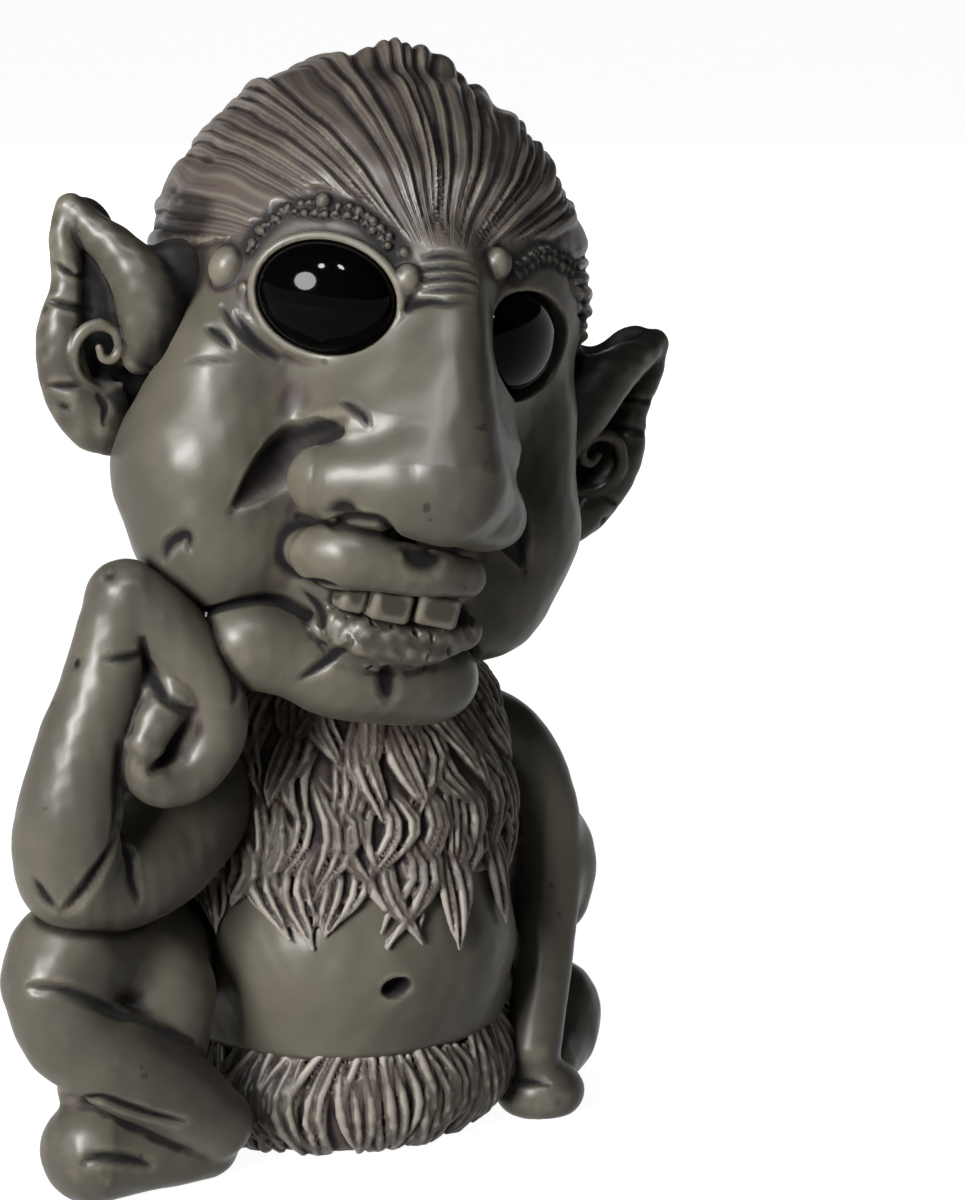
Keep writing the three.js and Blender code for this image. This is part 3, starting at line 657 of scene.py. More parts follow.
# Marks on the face, as (pixels, width, depth) in millimetres. The first folds are repeated on the far side.
FOLDS = [
    ([(341, 421), (326, 424), (308, 430), (288, 441), (268, 458), (250, 482), (233, 512)], 0.9, 1.6),
    ([(303, 592), (313, 602), (320, 618), (324, 636)], 0.7, 0.9),
    ([(350, 644), (332, 657), (315, 670), (300, 680)], 0.6, 1.0),
    ([(300, 517), (322, 523), (342, 521), (364, 519), (386, 526), (408, 540), (430, 549)], 0.8, 1.4),
    ([(300, 577), (320, 584), (340, 588)], 0.8, 1.2),
    ([(236, 314), (248, 331), (262, 347), (278, 359)], 0.6, 1.0),
    ([(222, 306), (232, 322), (246, 338), (260, 352)], 0.5, 0.8),
    ([(206, 326), (219, 334), (232, 348)], 0.7, 1.0),
    ([(341, 400), (352, 406), (362, 414), (368, 425)], 0.6, 0.9),
    ([(378, 330), (392, 316), (408, 306), (430, 301), (450, 302), (474, 300)], 0.6, 0.9),
]
MIRRORED_FOLDS = 2
MARKS = [
    ([(424, 258), (445, 255), (470, 259)], 0.5, 0.7),
    ([(420, 270), (446, 267), (475, 271)], 0.5, 0.8),
    ([(420, 281), (448, 277), (477, 281)], 0.5, 0.8),
    ([(424, 291), (450, 288), (476, 291)], 0.5, 0.7),
    ([(186, 362), (208, 360), (236, 364)], 0.45, 0.3),
    ([(163, 560), (167, 547), (176, 539), (187, 536), (190, 550)], 0.7, 1.2),
    ([(385, 668), (388, 684), (390, 702)], 1.1, 1.8),
    # A dent under the tip of the nose, whose near-black floor is a painted shadow
    ([(404, 548), (422, 557), (440, 553)], 1.6, 1.2),
    ([(330, 512), (344, 508), (356, 512)], 1.2, 0.8),
]
# The hollow between cheek and nose, along its middle
POCKET_PIXELS = [(338, 431), (312, 437), (288, 456), (263, 481), (240, 504)]
POCKET_WIDTHS = [1.1, 2.9, 3.9, 3.0, 1.0]
POCKET_DEPTH = 2.5
POCKET_REACH = 5


def onto(lump, points, steps=6):
    """Points moved onto a lump's skin."""
    points = np.array(points, float)
    for _ in range(steps):
        value, gradient = slope_at(lump, points, 0.05)
        points -= (value / steepness(gradient))[:, None] * gradient
    return points


def carved(lump, folds, to_lump=lambda p: p, mirrored_folds=0):
    """Creases on a lump's skin from (pixels, width, depth); the first ones also on the head's other side."""
    creases = []
    for number, (pixels, width, depth) in enumerate(folds):
        lines = [on_skin(lump, pixels, to_lump)]
        if number < mirrored_folds:
            lines.append(onto(lump, lines[0] * FLIP))
        for points in lines:
            value, gradient = slope_at(lump, points, 0.05)
            inward = -gradient / np.linalg.norm(gradient, axis=1)[:, None]
            creases.append(Crease(points, points + 0.6 * depth * inward, width, depth))
    return creases


def crease_shade_and_wash(creases, p):
    """How near-black the creases are painted, as shade, at each point."""
    return np.max([crease.ink(p) for crease in creases], axis=0) if creases else np.zeros(len(p))


face_creases = carved(FACE_BASE, FOLDS, into_head, MIRRORED_FOLDS) + carved(FACE_BASE, MARKS, into_head)


def on_both_cheeks(pixels):
    """Points on the face that the camera sees at pixels, and the same on its other side."""
    points = on_skin(FACE_BASE, pixels, into_head)
    return points, onto(FACE_BASE, points * FLIP)


POCKETS = [
    np.column_stack([curve_through(points, 4), curve_through(np.array(POCKET_WIDTHS)[:, None], 4)])
    for points in on_both_cheeks(POCKET_PIXELS)
]


def pocket_share(p):
    """1 in the middle of the hollows between cheek and nose, 0 outside them."""
    share = np.zeros(len(p))
    for nodes in POCKETS:
        near = within(p, nodes[:, :3].min(0) - POCKET_REACH, nodes[:, :3].max(0) + POCKET_REACH)
        if near.any():
            away, width = along_line(p[near], nodes)
            share[near] = np.maximum(share[near], smooth_step(1.0, 0.15, away / np.maximum(width, 0.3)))
    return share


# Beads and knobs of the brows: pixels with a radius in millimetres
KNOBS = [((228, 268), 2.5), ((407, 281), 1.9), ((497, 264), 1.9), ((323, 203), 1.15), ((404, 253), 0.7)]
BROW_BEADS = [(250, 246), (262, 230), (277, 217), (296, 208), (350, 212), (368, 221), (384, 236), (394, 248)]
BEAD_STEP = 1.3
BROWS = [np.column_stack([line, np.ones(len(line))]) for line in on_both_cheeks(BROW_BEADS)]


def brow_beads():
    """Small beads in uneven rows along each brow."""
    line = curve_through(BROWS[0][:, :3], 24)
    spacing = np.linalg.norm(np.diff(line, axis=0), axis=1)
    along = np.concatenate([[0], np.cumsum(spacing)])
    numbers = np.random.default_rng(5)
    beads = []
    for row in (-0.75, 0.65):
        for at in np.arange(0.3, along[-1], BEAD_STEP):
            spot = [np.interp(at + numbers.uniform(-0.3, 0.3), along, line[:, axis]) for axis in range(3)]
            spot[2] += row + numbers.uniform(-0.25, 0.25)
            beads.append((spot, numbers.uniform(0.5, 0.72)))
    places = onto(FACE_BASE, [spot for spot, radius in beads])
    other = onto(FACE_BASE, places * FLIP)
    radii = [radius for spot, radius in beads]
    return [(ellipsoid(at, (r, r, r)), 0.15) for at, r in zip([*places, *other], radii * 2)]


def tooth(at, half, rounding=0.9):
    """A block with rounded edges, from its middle and half its sides."""
    middle = at_front(*at)
    core = np.array(half, float) - rounding

    def distance(p):
        q = np.abs(p - middle) - core
        outside = np.linalg.norm(np.maximum(q, 0), axis=1)
        return outside + np.minimum(q.max(axis=1), 0) - rounding

    reach = np.array(half) + 0.1
    return Lump(distance, middle - reach, middle + reach)


TEETH = [
    tooth((350, 597, -30.9), (1.8, 2, 1.7)),
    tooth((388, 604, -32.2), (2.8, 2, 2.1)),
    tooth((434, 609, -32), (3.0, 2, 2.1)),
]
knob_places = onto(FACE_BASE, on_skin(FACE_BASE, [pixel for pixel, radius in KNOBS], into_head))

# Hair: strands like meridians from the bridge of the nose over the head
HAIR_ORIGIN = np.array([1.0, -1.0, 13.0])
HAIR_POLE_PIXEL = (445, 290)
HAIRLINE_PIXELS = [
    (178, 252), (205, 247), (243, 236), (268, 214), (300, 196), (330, 190), (360, 200), (385, 218),
    (408, 238), (430, 250), (455, 252),
]
# The nape's end of the hairline: degrees round the pole, and back from it
NAPE_LINE = np.radians([(100, 84), (112, 92), (130, 112), (150, 128), (180, 140)])
STRANDS = 36  # from ear to ear over the top
STRAND_HEIGHT = 0.95
HAIR_LIFT = 0.35

pole = on_skin(FACE_BASE, [HAIR_POLE_PIXEL], into_head)[0] - HAIR_ORIGIN
HAIR_FRONT = pole / np.linalg.norm(pole)
HAIR_SIDE = np.cross((0, 0, 1), HAIR_FRONT)
HAIR_SIDE /= np.linalg.norm(HAIR_SIDE)
HAIR_TOP = np.cross(HAIR_FRONT, HAIR_SIDE)


def round_pole(p):
    """Angle round the hair's pole, from its top, and angle back from the pole."""
    q = p - HAIR_ORIGIN
    across = q @ HAIR_SIDE
    upward = q @ HAIR_TOP
    return np.arctan2(across, upward), np.arctan2(np.hypot(across, upward), q @ HAIR_FRONT)


hairline_round, hairline_back = round_pole(on_skin(FACE_BASE, HAIRLINE_PIXELS, into_head))
order = np.argsort(np.abs(hairline_round))
HAIRLINE = (
    np.concatenate([np.abs(hairline_round)[order], NAPE_LINE[:, 0]]),
    np.concatenate([hairline_back[order], NAPE_LINE[:, 1]]),
)


def hair_share(p):
    """1 under the hair, 0 on bare skin."""
    angle, back = round_pole(p)
    past = (back - np.interp(np.abs(angle), *HAIRLINE)) * 24
    return smooth_step(-0.4, 0.9, past + 0.5 * waves(p, 3.5, 8))


def strand_turns(p):
    """A number that grows by one from each strand of hair to the next."""
    angle, back = round_pole(p)
    uneven = 0.5 * np.sin(angle * 8 + 1) + 0.25 * np.sin(angle * 19 + 2)
    return angle / math.pi * STRANDS + uneven + 0.14 * waves(p, 24, 3) + 0.04 * waves(p, 7, 4)


def strand_relief(p):
    """Height of the strands over the hair: each has its own, in locks of about three, fading at the poles."""
    angle, back = round_pole(p)
    turns = strand_turns(p)
    own = 0.5 + 0.5 * np.sin(np.floor(turns) * 2.4 + 1.2)
    next_own = 0.5 + 0.5 * np.sin(np.floor(turns + 1) * 2.4 + 1.2)
    inside = turns - np.floor(turns)
    own = own + (next_own - own) * smooth_step(0.8, 1, inside)
    strand = 1 - (0.5 + 0.5 * np.cos(2 * math.pi * turns)) ** 1.6
    swell = 0.75 + 0.25 * np.sin(back * 5 + 6 * own)
    lock = 0.5 - 0.5 * np.cos(2 * math.pi * turns / 3.3 + 0.8 * waves(p, 20, 5))
    finer = smooth_step(-0.55, -1.2, angle)
    height = STRAND_HEIGHT * (1 - 0.45 * finer) * (strand * (0.5 + 0.5 * own) * swell - 0.4)
    apart = smooth_step(0.12, 0.85, back) * smooth_step(3.1, 2.5, back)
    return apart * (height + 0.5 * (lock - 0.5)) + 0.22 * waves(p, 10, 6)


EAR_ROOT = ellipsoid(at_front(172, 302, -2.8), (5.6, 5, 8.2), (0, -8, 0))
WING_END = at_front(324, 480, -29.5)
LIP_END = at_front(308, 552, -27)
JOWL_TOP = np.array(JOWL_AT) * FLIP + (0, 0, 3)


def on_right(p):
    """Points of the head's left half moved to the same place on its right."""
    return p * np.where(p[:, :1] > 0, FLIP, 1)


def beside(p, middle, reach):
    """1 near a place on either side of the face, 0 beyond the reach."""
    return smooth_step(reach, 0.7 * reach, np.linalg.norm(on_right(p) - middle, axis=1))


def jowl_line(p, width):
    """1 in the line where the jowls meet the cheeks."""
    share = beside(p, JOWL_TOP, 10)
    near = share > 0
    share[near] *= valley(p[near], CHIN, SKULL, width)
    return share


def skirting(p, lump, middle, reach):
    """1 on the skin just outside a lump, near a place on either side of the face."""
    away = lump.distance(p)
    return beside(p, middle, reach) * smooth_step(0.05, 0.4, away) * smooth_step(2.1, 0.8, away)


def head_relief(p):
    """Height over the plain clay: unevenness, hollows, the pitted lower lip and the hair."""
    height = 0.03 * waves(p, 3.2, 1) + 0.07 * waves(p, 8, 2) - POCKET_DEPTH * pocket_share(p)
    height -= 0.45 * jowl_line(p, 1.4)
    stubble = smooth_step(2.0, 0.5, LOWER_LIP_CLAY.distance(p))
    stubbled = stubble > 0
    rough = p[stubbled]
    lumps = 0.12 * waves(rough, 2.4, 9, 16) - 0.45 * smooth_step(0.9, 1.7, waves(rough, 2.0, 10, 16))
    height[stubbled] += stubble[stubbled] * lumps
    hair = hair_share(p)
    haired = hair > 0.001
    height[haired] += hair[haired] * (HAIR_LIFT + strand_relief(p[haired]))
    return height


HEAD_CLAY = clay(
    (shaped(FACE_BASE, all_of(head_relief, *(crease.relief for crease in face_creases)), 1.5), 1),
    (MOUTH_HOLLOW, -0.5),
    *((block, 0.25) for block in TEETH),
    *((limb(eye_ring(*eye, 0.5, 0.1, LID_RADIUS)), 0.8) for eye in EYES.values()),
    *((limb(eye_ring(*eye, 1.9, -1.0, 0.6, 190, 350, 9)), 0.6) for eye in EYES.values()),
    *((ellipsoid(at, (r, r, r * 1.15)), 0.5) for at, (pixel, r) in zip(knob_places, KNOBS)),
    *brow_beads(),
    *((eye_socket(*eye), -0.2) for eye in EYES.values()),
)


def touching(vertices, *others, reach=1.6):
    """1 where a skin touches other lumps, where painted shade goes, and 0 at the given distance from them."""
    return np.max([smooth_step(reach, 0.3, other.distance(vertices)) for other in others], axis=0)


# Each function of marks gives shares from 0 to 1 for every vertex. Near-black painted shade goes in what is
# cut in, over the finish's own dark wash, and a lighter painted shade where parts touch and in hollows.
def head_marks(vertices):
    off_teeth = np.min([block.distance(vertices) for block in TEETH], axis=0)
    off_brow = np.min([along_line(vertices, brow)[0] for brow in BROWS], axis=0)
    hollow = pocket_share(vertices)
    right = on_right(vertices)
    # Near-black painted shade in the creases, the mouth, the hollow between cheek and nose, where jowl, wing
    # and lip meet the cheek, and among the brow beads
    ink = np.max([
        crease_shade_and_wash(face_creases, vertices),
        smooth_step(0.7, 0.1, MOUTH_HOLLOW.distance(vertices)) * smooth_step(0.12, 0.5, off_teeth),
        0.85 * smooth_step(0.25, 0.9, hollow),
        0.97 * jowl_line(vertices, 1.9),
        0.95 * skirting(vertices, WINGS, WING_END, 7.5),
        0.95 * skirting(vertices, UPPER_LIP_CLAY, LIP_END, 6.5),
        0.9 * valley(vertices, UPPER_LIP_CLAY, WINGS, 1.6),
        0.5 * smooth_step(2.2, 1.4, off_brow),
    ], axis=0)
    # Painted shade in the hollow between cheek and nose, where the arm touches the face, round the brows and
    # teeth, behind the ear and at its root, and round the lower lip; partly the finish's dark wash
    soot = np.max([
        0.95 * hollow,
        touching(from_head(vertices), RIGHT_ARM),
        smooth_step(2.4, 1.3, off_brow),
        0.5 * smooth_step(0.6, 0.1, off_teeth),
        0.95 * smooth_step(10, 4, EAR.distance(right)) * smooth_step(-8, -4, right[:, 1]),
        0.95 * smooth_step(3, 0.5, EAR_ROOT.distance(right)),
        0.35 * smooth_step(2.6, 0.6, LOWER_LIP_CLAY.distance(vertices)),
    ], axis=0)
    return {"hair": hair_share(vertices), "strand": strand_turns(vertices), "ink": 0.95 * ink, "soot": soot}


# Ears, in the head's frame: this is the right one. A bowl behind, a rolled rim with a curl in it, and a broad
# flap in front that runs up to the tip.
EAR_RIM = limb(seen([
    (68, 207, -2, 1.2), (63, 232, -2.4, 1.7), (65, 262, -3, 1.9), (66, 290, -3.5, 2.1), (60, 322, -4, 2.8),
    (60, 352, -4.4, 3.1), (66, 382, -4.8, 3.2), (77, 406, -5.2, 3.4), (94, 424, -5.5, 3.5),
    (110, 434, -5.5, 2.8),
]))
EAR_FLAP = limb(seen([
    (69, 205, -2.2, 1.2), (90, 226, -4, 2.1), (117, 251, -6, 3.0), (139, 279, -7.5, 3.8), (150, 310, -8, 4.2),
    (148, 338, -7.5, 3.6), (140, 354, -6.6, 2.6),
]))
EAR_CURL = limb(seen([
    (120, 385, -6.0, 0.55), (102, 391, -6.6, 0.7), (85, 384, -7, 0.78), (75, 367, -7.2, 0.8),
    (74, 347, -7.2, 0.8), (84, 331, -7.2, 0.8), (100, 325, -7.2, 0.78), (114, 331, -7.2, 0.74),
    (120, 345, -7, 0.7), (114, 358, -7, 0.66), (103, 358, -6.9, 0.6), (99, 348, -6.9, 0.55),
]))
EAR_CURL_MIDDLE = at_front(97, 356, -6.5)
# How much darker the whole of each ear is painted
EAR_DARKENING = 0.3
EAR_BOWL = np.array(seen([
    (80, 232, -3, 1), (92, 262, -4, 1), (104, 296, -5, 1), (114, 330, -6, 1), (116, 362, -6, 1),
    (104, 384, -6, 1),
]))
EAR_CREASES = [
    ([(54, 264), (66, 271), (86, 279)], 0.45, 0.8),
    ([(50, 301), (70, 306), (92, 311)], 0.5, 0.9),
    ([(48, 386), (66, 387), (82, 386)], 0.5, 0.7),
    ([(98, 394), (106, 406), (104, 424)], 0.5, 0.8),
    ([(58, 404), (64, 408), (68, 406)], 0.6, 0.6),
]
EAR = clay(
    (ellipsoid(at_front(98, 330, -1.5), (6.5, 3.0, 12), (0, 10, 0)), 1),
    (ellipsoid(at_front(88, 262, -1.0), (4.6, 1.8, 8.5), (0, -22, 0)), 2.5),
    (EAR_ROOT, 3),
    (EAR_FLAP, 2.2),
    (EAR_RIM, 1.2),
    (ellipsoid(at_front(100, 412, -5), (3.6, 3.2, 4.6)), 1.2),
    (ellipsoid(at_front(133, 392, -1), (3.6, 2.2, 5)), 1.5),
    (EAR_CURL, 0.4),
)
ear_creases = carved(EAR, EAR_CREASES, into_head)
RIGHT_EAR = shaped(EAR, all_of(lambda p: 0.07 * waves(p, 3, 11), *(crease.relief for crease in ear_creases)))


def other_side(lump):
    low = [-lump.high[0], *lump.low[1:]]
    high = [-lump.low[0], *lump.high[1:]]
    return Lump(lambda p: lump.distance(p * FLIP), low, high)


def ear_marks(vertices):
    """Painted shade in the bowl of either ear, behind the curl and the rolled rim, and in the folds; painted
    shadow at the root, and the whole ear a little darker.
    """
    vertices = on_right(vertices)
    away = along_line(vertices, EAR_BOWL)[0]
    bowl = smooth_step(7.5, 5.0, away)
    for raised, low, high in ((EAR_RIM, 0.0, 1.0), (EAR_FLAP, 0.4, 1.6), (EAR_CURL, 0.1, 0.6)):
        bowl *= smooth_step(low, high, raised.distance(vertices))
    round_curl = smooth_step(6.5, 4.0, np.linalg.norm(vertices - EAR_CURL_MIDDLE, axis=1))
    # Near-black painted shadow where the flap meets the head
    root = smooth_step(-34, -30.3, vertices[:, 0])
    ink = np.max([crease_shade_and_wash(ear_creases, vertices), (0.8 + 0.15 * round_curl) * bowl, 0.75 * root], axis=0)
    return {"ink": ink, "soot": np.maximum(np.maximum(bowl, root), EAR_DARKENING)}


# Body clay, in the figure's frame
BODY = clay(
    (ellipsoid((2, 2, 9), (24, 22, 14)), 1),
    (ellipsoid((2.6, 0, 25), (23, 22.5, 20)), 6),
    (ellipsoid((2.6, 1, 44), (22.5, 17.5, 16)), 8),
    (ellipsoid((2.8, 5, 54), (23, 14, 13)), 6),
    (ellipsoid((2.6, 9, 38), (21.5, 15, 24)), 8),
)
FLOOR_CUT = -0.02


def standing(lump):
    """The lump cut flat where it stands on the table."""
    return Lump(lambda p: np.maximum(lump.distance(p), -p[:, 2]), [*lump.low[:2], FLOOR_CUT], lump.high)


RIGHT_ARM = clay(
    (limb([(-17, 0, 50, 8.5), (-24, -7, 46.5, 8.5), (-31, -13, 43.8, 7.8), (-38, -16.5, 43, 7),
           (-42.6, -19, 45, 6.8), (-43.4, -19.8, 50, 7), (-42.6, -20, 55.5, 6.6), (-41, -19.5, 61.4, 5.9),
           (-38.4, -18.5, 67.4, 5.4), (-36.3, -17.5, 73.5, 5), (-34, -17, 79.6, 5)]), 1),
    (limb([(-34, -17, 79.6, 5), (-30.3, -18.5, 77, 4.9), (-26.9, -20, 72.4, 4.6), (-24.2, -21, 67.1, 4.3),
           (-24.0, -21.5, 61.9, 4.0), (-27.2, -22, 57.6, 3.5), (-31.8, -22.7, 56.9, 3.1),
           (-34.6, -23.2, 59.2, 2.7), (-34.6, -23.4, 61.8, 2.2)]), 0.8),
    (ellipsoid((-29.6, -20.6, 64.5), (5.6, 3.4, 7.5)), 1),
    (limb([(-25.5, -18.5, 70.5, 2.8), (-28.9, -20.9, 68, 3.0), (-32.0, -22.6, 65.4, 3.0),
           (-34.0, -23.6, 62.6, 2.6)]), 0.7),
    (ellipsoid((-27, -15.5, 77), (4, 3.4, 4.5)), 2),
)
LEFT_ARM = clay(
    (limb([(20, 6, 53, 6), (28.5, 4, 48.7, 5.2), (32.7, 1.5, 40.1, 4.7), (33.1, 0, 31.9, 4.4),
           (31.3, -3, 22.9, 4), (28.2, -7, 14.4, 3.9), (26, -9.5, 8.4, 4)]), 1),
    (ellipsoid((36, 4, 29.5), (5.4, 6, 9.5)), 2),
    (ellipsoid((28, 5, 33), (4.5, 4.5, 18)), 2),
    (ellipsoid((27, -9.8, 2.6), (6.2, 6.4, 4.4)), 1.5),
)
RIGHT_LEG = clay(
    (limb([(-17, 8, 21, 8.5), (-27, -3, 27.5, 8), (-36.4, -11, 31, 7.6), (-43, -16.5, 32.9, 7.5)]), 1),
    (limb([(-45.2, -18.5, 30.6, 6.8), (-43.5, -20, 24.7, 6.6), (-37.2, -20.5, 19.6, 6.4),
           (-29.9, -19, 14.2, 6), (-23.1, -17, 8, 5)]), 1.2),
    (ellipsoid((-31, -13, 20), (8.5, 7, 8.5)), 1),
    (ellipsoid((-29.5, -11, 25.5), (8.5, 8.5, 7.5)), 3),
    (ellipsoid((-36.5, -13, 14), (6.5, 5.5, 5)), 2),
    (limb([(-23.6, -14.5, 4.2, 4.6), (-31.8, -15.8, 5.2, 5.4), (-39.3, -15.8, 6.2, 7)]), 1.2),
)
LEFT_LEG = clay(
    (limb([(16, 10, 10, 8.5), (27, 9, 8.6, 8.4), (35, 6, 7.6, 8)]), 1),
    (limb([(35, 3, 5, 6), (31, -2, 4, 5)]), 1.5),
)

ARM_FOLDS = [
    ([(106, 661), (120, 659), (134, 657), (148, 654)], 0.6, 1.0),
    ([(121, 745), (119, 775), (118, 805), (112, 843)], 0.9, 1.6),
    ([(116, 836), (92, 880), (64, 913)], 0.8, 1.8),
    ([(118, 815), (126, 850), (133, 878), (139, 900)], 0.8, 1.6),
    ([(143, 640), (147, 664), (157, 686), (172, 702), (192, 712)], 0.8, 1.4),
    ([(34, 880), (43, 896), (55, 909)], 0.7, 1.1),
    ([(190, 718), (178, 740), (166, 758), (152, 771)], 0.9, 1.6),
    ([(74, 658), (77, 668)], 0.7, 0.8),
    ([(106, 573), (114, 577)], 0.7, 0.5),
    ([(233, 676), (238, 690), (234, 702)], 0.6, 0.8),
]
LEG_FOLDS = [
    ([(30, 988), (60, 990), (90, 999), (125, 1013), (160, 1028), (194, 1042)], 0.8, 1.7),
    ([(64, 1095), (95, 1099), (125, 1108), (155, 1117), (185, 1123)], 0.8, 1.7),
    ([(84, 1164), (95, 1158), (115, 1158), (135, 1161), (152, 1167)], 0.7, 1.3),
]
WRIST_FOLDS = [([(506, 1080), (525, 1081), (548, 1083)], 0.6, 1.0)]
NAVEL_PIXEL = (397, 988)
NAVEL_RADII = (2.0, 2.4, 1.3)
HIP_LINE = 13.4  # height of the crease under the belly, from which the hip fur hangs


def clayed(base, creases, seed, *more):
    """A casting with its creases carved and its skin a little uneven."""
    def uneven(p):
        return 0.035 * waves(p, 3.2, seed) + 0.08 * waves(p, 9, seed + 1)

    return shaped(base, all_of(uneven, *more, *(crease.relief for crease in creases)))


def limb_marks(creases, *others):
    """Near-black painted shade in the creases, and painted shade where the limb touches other lumps of the
    figure.
    """
    return lambda vertices: {"ink": 0.95 * crease_shade_and_wash(creases, vertices), "soot": touching(vertices, *others)}


def hip_crease(p):
    return -1.5 * np.exp(-((p[:, 2] - HIP_LINE) / 1.3) ** 2)


NAVEL = ellipsoid(on_skin(BODY, [NAVEL_PIXEL])[0], NAVEL_RADII, (0, -12, 0))
TORSO = clay((clayed(BODY, [], 51, hip_crease), 1), (NAVEL, -0.5))
HEAD_ON_BODY = Lump(lambda p: FACE_BASE.distance(into_head(p)), (-FAR, -FAR, 40), (FAR, FAR, 160))
LIMBS = (RIGHT_ARM, LEFT_ARM, RIGHT_LEG, LEFT_LEG)


def torso_marks(vertices):
    # Painted shade under the belly's overhang and where the limbs touch, near-black painted shade in the
    # navel
    under_belly = np.exp(-((vertices[:, 2] - HIP_LINE + 0.6) / 1.3) ** 2)
    return {
        "ink": 0.95 * smooth_step(0.3, -0.1, NAVEL.distance(vertices)),
        "soot": np.maximum(0.9 * under_belly, touching(vertices, *LIMBS, reach=2.2)),
    }


def fur_marks(vertices):
    # Painted shade where the fur touches the limbs and the head
    return {"soot": touching(vertices, *LIMBS, HEAD_ON_BODY)}


# Fur: locks of strands that taper to a point, in tiers down the body
class Locks:
    """Strands as chains of round cones with a small blend. Only those near the points are measured."""

    def __init__(self, chains, blend):
        self.chains = chains
        self.blend = blend
        reach = np.array([chain[:, 3].max() + blend + 1.6 for chain in chains])
        self.low = np.array([chain[:, :3].min(0) for chain in chains]) - reach[:, None]
        self.high = np.array([chain[:, :3].max(0) for chain in chains]) + reach[:, None]

    def distance(self, p):
        joined = np.full(len(p), FAR)
        if not len(p):
            return joined
        lowest = p.min(0)
        highest = p.max(0)
        touched = np.all((self.low < highest) & (self.high > lowest), axis=1)
        for number in np.flatnonzero(touched):
            near = within(p, self.low[number], self.high[number])
            if near.any():
                lock = chain_distance(p[near], self.chains[number])
                joined[near] = smooth_min(joined[near], lock, self.blend)
        return joined


def skin_radius(lump, axis_at, angle, height):
    """How far a lump's skin is from an upright axis, at each angle round it and height."""
    outward = np.stack([np.sin(angle), -np.cos(angle), np.zeros_like(angle)], axis=-1)
    start = np.stack([np.full_like(height, axis_at[0]), np.full_like(height, axis_at[1]), height], axis=-1)
    low = np.full(angle.shape, 2.0)
    high = np.full(angle.shape, 45.0)
    for _ in range(18):
        middle = (low + high) / 2
        inside = lump.distance((start + middle[..., None] * outward).reshape(-1, 3)).reshape(angle.shape) < 0
        low = np.where(inside, middle, low)
        high = np.where(inside, high, middle)
    return low


STRAND_NODES = 7


def fur_ring(lump, axis_at, tiers, width, bend, seed, strands, thickness, lifts, taper, uneven):
    """Leaf-shaped locks in tiers round an upright axis: strands side by side that meet at the lock's tip."""
    numbers = np.random.default_rng(seed)
    t = np.linspace(0, 1, STRAND_NODES)
    chains = []
    for tier, (top, length) in enumerate(tiers):
        count = round(2 * math.pi * 22 / width)
        turn = np.arange(count) + 0.5 * (tier % 2) + numbers.uniform(-0.25, 0.25, count)
        turn = turn / count * 2 * math.pi
        root = top + uneven * numbers.uniform(-1, 1, count)
        reach = length * numbers.uniform(0.75, 1.2, count)
        sway = bend * numbers.uniform(-1.1, 1.3, count)
        lean = numbers.uniform(-2.4, 2.4, count)
        stand = numbers.uniform(0.7, 1.25, count)
        for strand in range(strands):
            side = (strand + 0.5) / strands * 2 - 1 + numbers.uniform(-0.12, 0.12, count)
            own_reach = reach * (1 - 0.14 * np.abs(side) * numbers.uniform(0.3, 1.6, count))
            leaf = np.sin(math.pi * (0.16 + 0.84 * t)) ** 0.75
            shift = side[:, None] * width * 0.62 * leaf + lean[:, None] * t
            own_sway = sway * numbers.uniform(0.85, 1.15, count)
            shift = shift + own_sway[:, None] * np.sin(t * math.pi * 1.5 - 0.4)
            angle = turn[:, None] + shift / 21.0
            height = root[:, None] - own_reach[:, None] * t
            radius = skin_radius(lump, axis_at, angle, height)
            rise = lifts[0] * (1 - t) ** 2 + 2 * lifts[1] * t * (1 - t) + lifts[2] * t ** 2
            out = radius + rise * stand[:, None] * (1 - 0.3 * np.abs(side[:, None]))
            thick = thickness * (0.8 + 0.4 * np.sin(math.pi * t) - taper * t)
            thick = thick * numbers.uniform(0.8, 1.2, (count, 1))
            nodes = np.stack([
                axis_at[0] + out * np.sin(angle),
                axis_at[1] - out * np.cos(angle),
                height,
                np.maximum(thick, 0.16),
            ], axis=-1)
            chains += list(nodes)
    return chains


def fur(coat, locks, high):
    """Locks over a thin coat of clay on the body."""
    def distance(p):
        return smooth_min(coat(p), locks.distance(p), 0.25)

    return Lump(distance, np.minimum(BODY.low - 1, locks.low.min(0)), high)


def mantle_coat(p):
    """A thin coat under the chest's locks, from the neck down to above their tips."""
    lower = 37.5 + 1.2 * waves(p * (1, 1, 0), 7, 21)
    return np.maximum(BODY.distance(p) - 0.5, lower - p[:, 2])


def skirt_coat(p):
    """A thin coat under the hip's locks, from below their roots down to the table."""
    upper = 11.0 + 0.8 * waves(p * (1, 1, 0), 6, 22)
    return np.maximum(np.maximum(BODY.distance(p) - 0.25, p[:, 2] - upper), -p[:, 2])


# Tiers as (height of the roots, length), and lifts of a lock's root, middle and tip over the skin
mantle_locks = fur_ring(
    BODY, (2.6, 3.0), tiers=[(66, 14), (58.5, 14), (51, 14), (43.5, 13)], width=4.8, bend=2.6, seed=31,
    strands=4, thickness=0.64, lifts=(0.0, 2.6, 0.9), taper=0.5, uneven=1.8)
skirt_locks = fur_ring(
    BODY, (2.0, 2.0), tiers=[(HIP_LINE + 1.2, 16), (HIP_LINE + 0.6, 17)], width=4.6, bend=1.8, seed=32,
    strands=3, thickness=0.66, lifts=(-1.4, 2.6, 1.4), taper=0.2, uneven=0.8)
mantle = fur(mantle_coat, Locks(mantle_locks, 0.1), BODY.high + 3)
mantle.low[2] = 22
skirt = standing(fur(skirt_coat, Locks(skirt_locks, 0.1), (30, 27, 17)))


# Paint
MIX_SHARE, MIX_FIRST, MIX_SECOND, MIX_RESULT = 0, 6, 7, 2  # sockets of the Mix node for colours


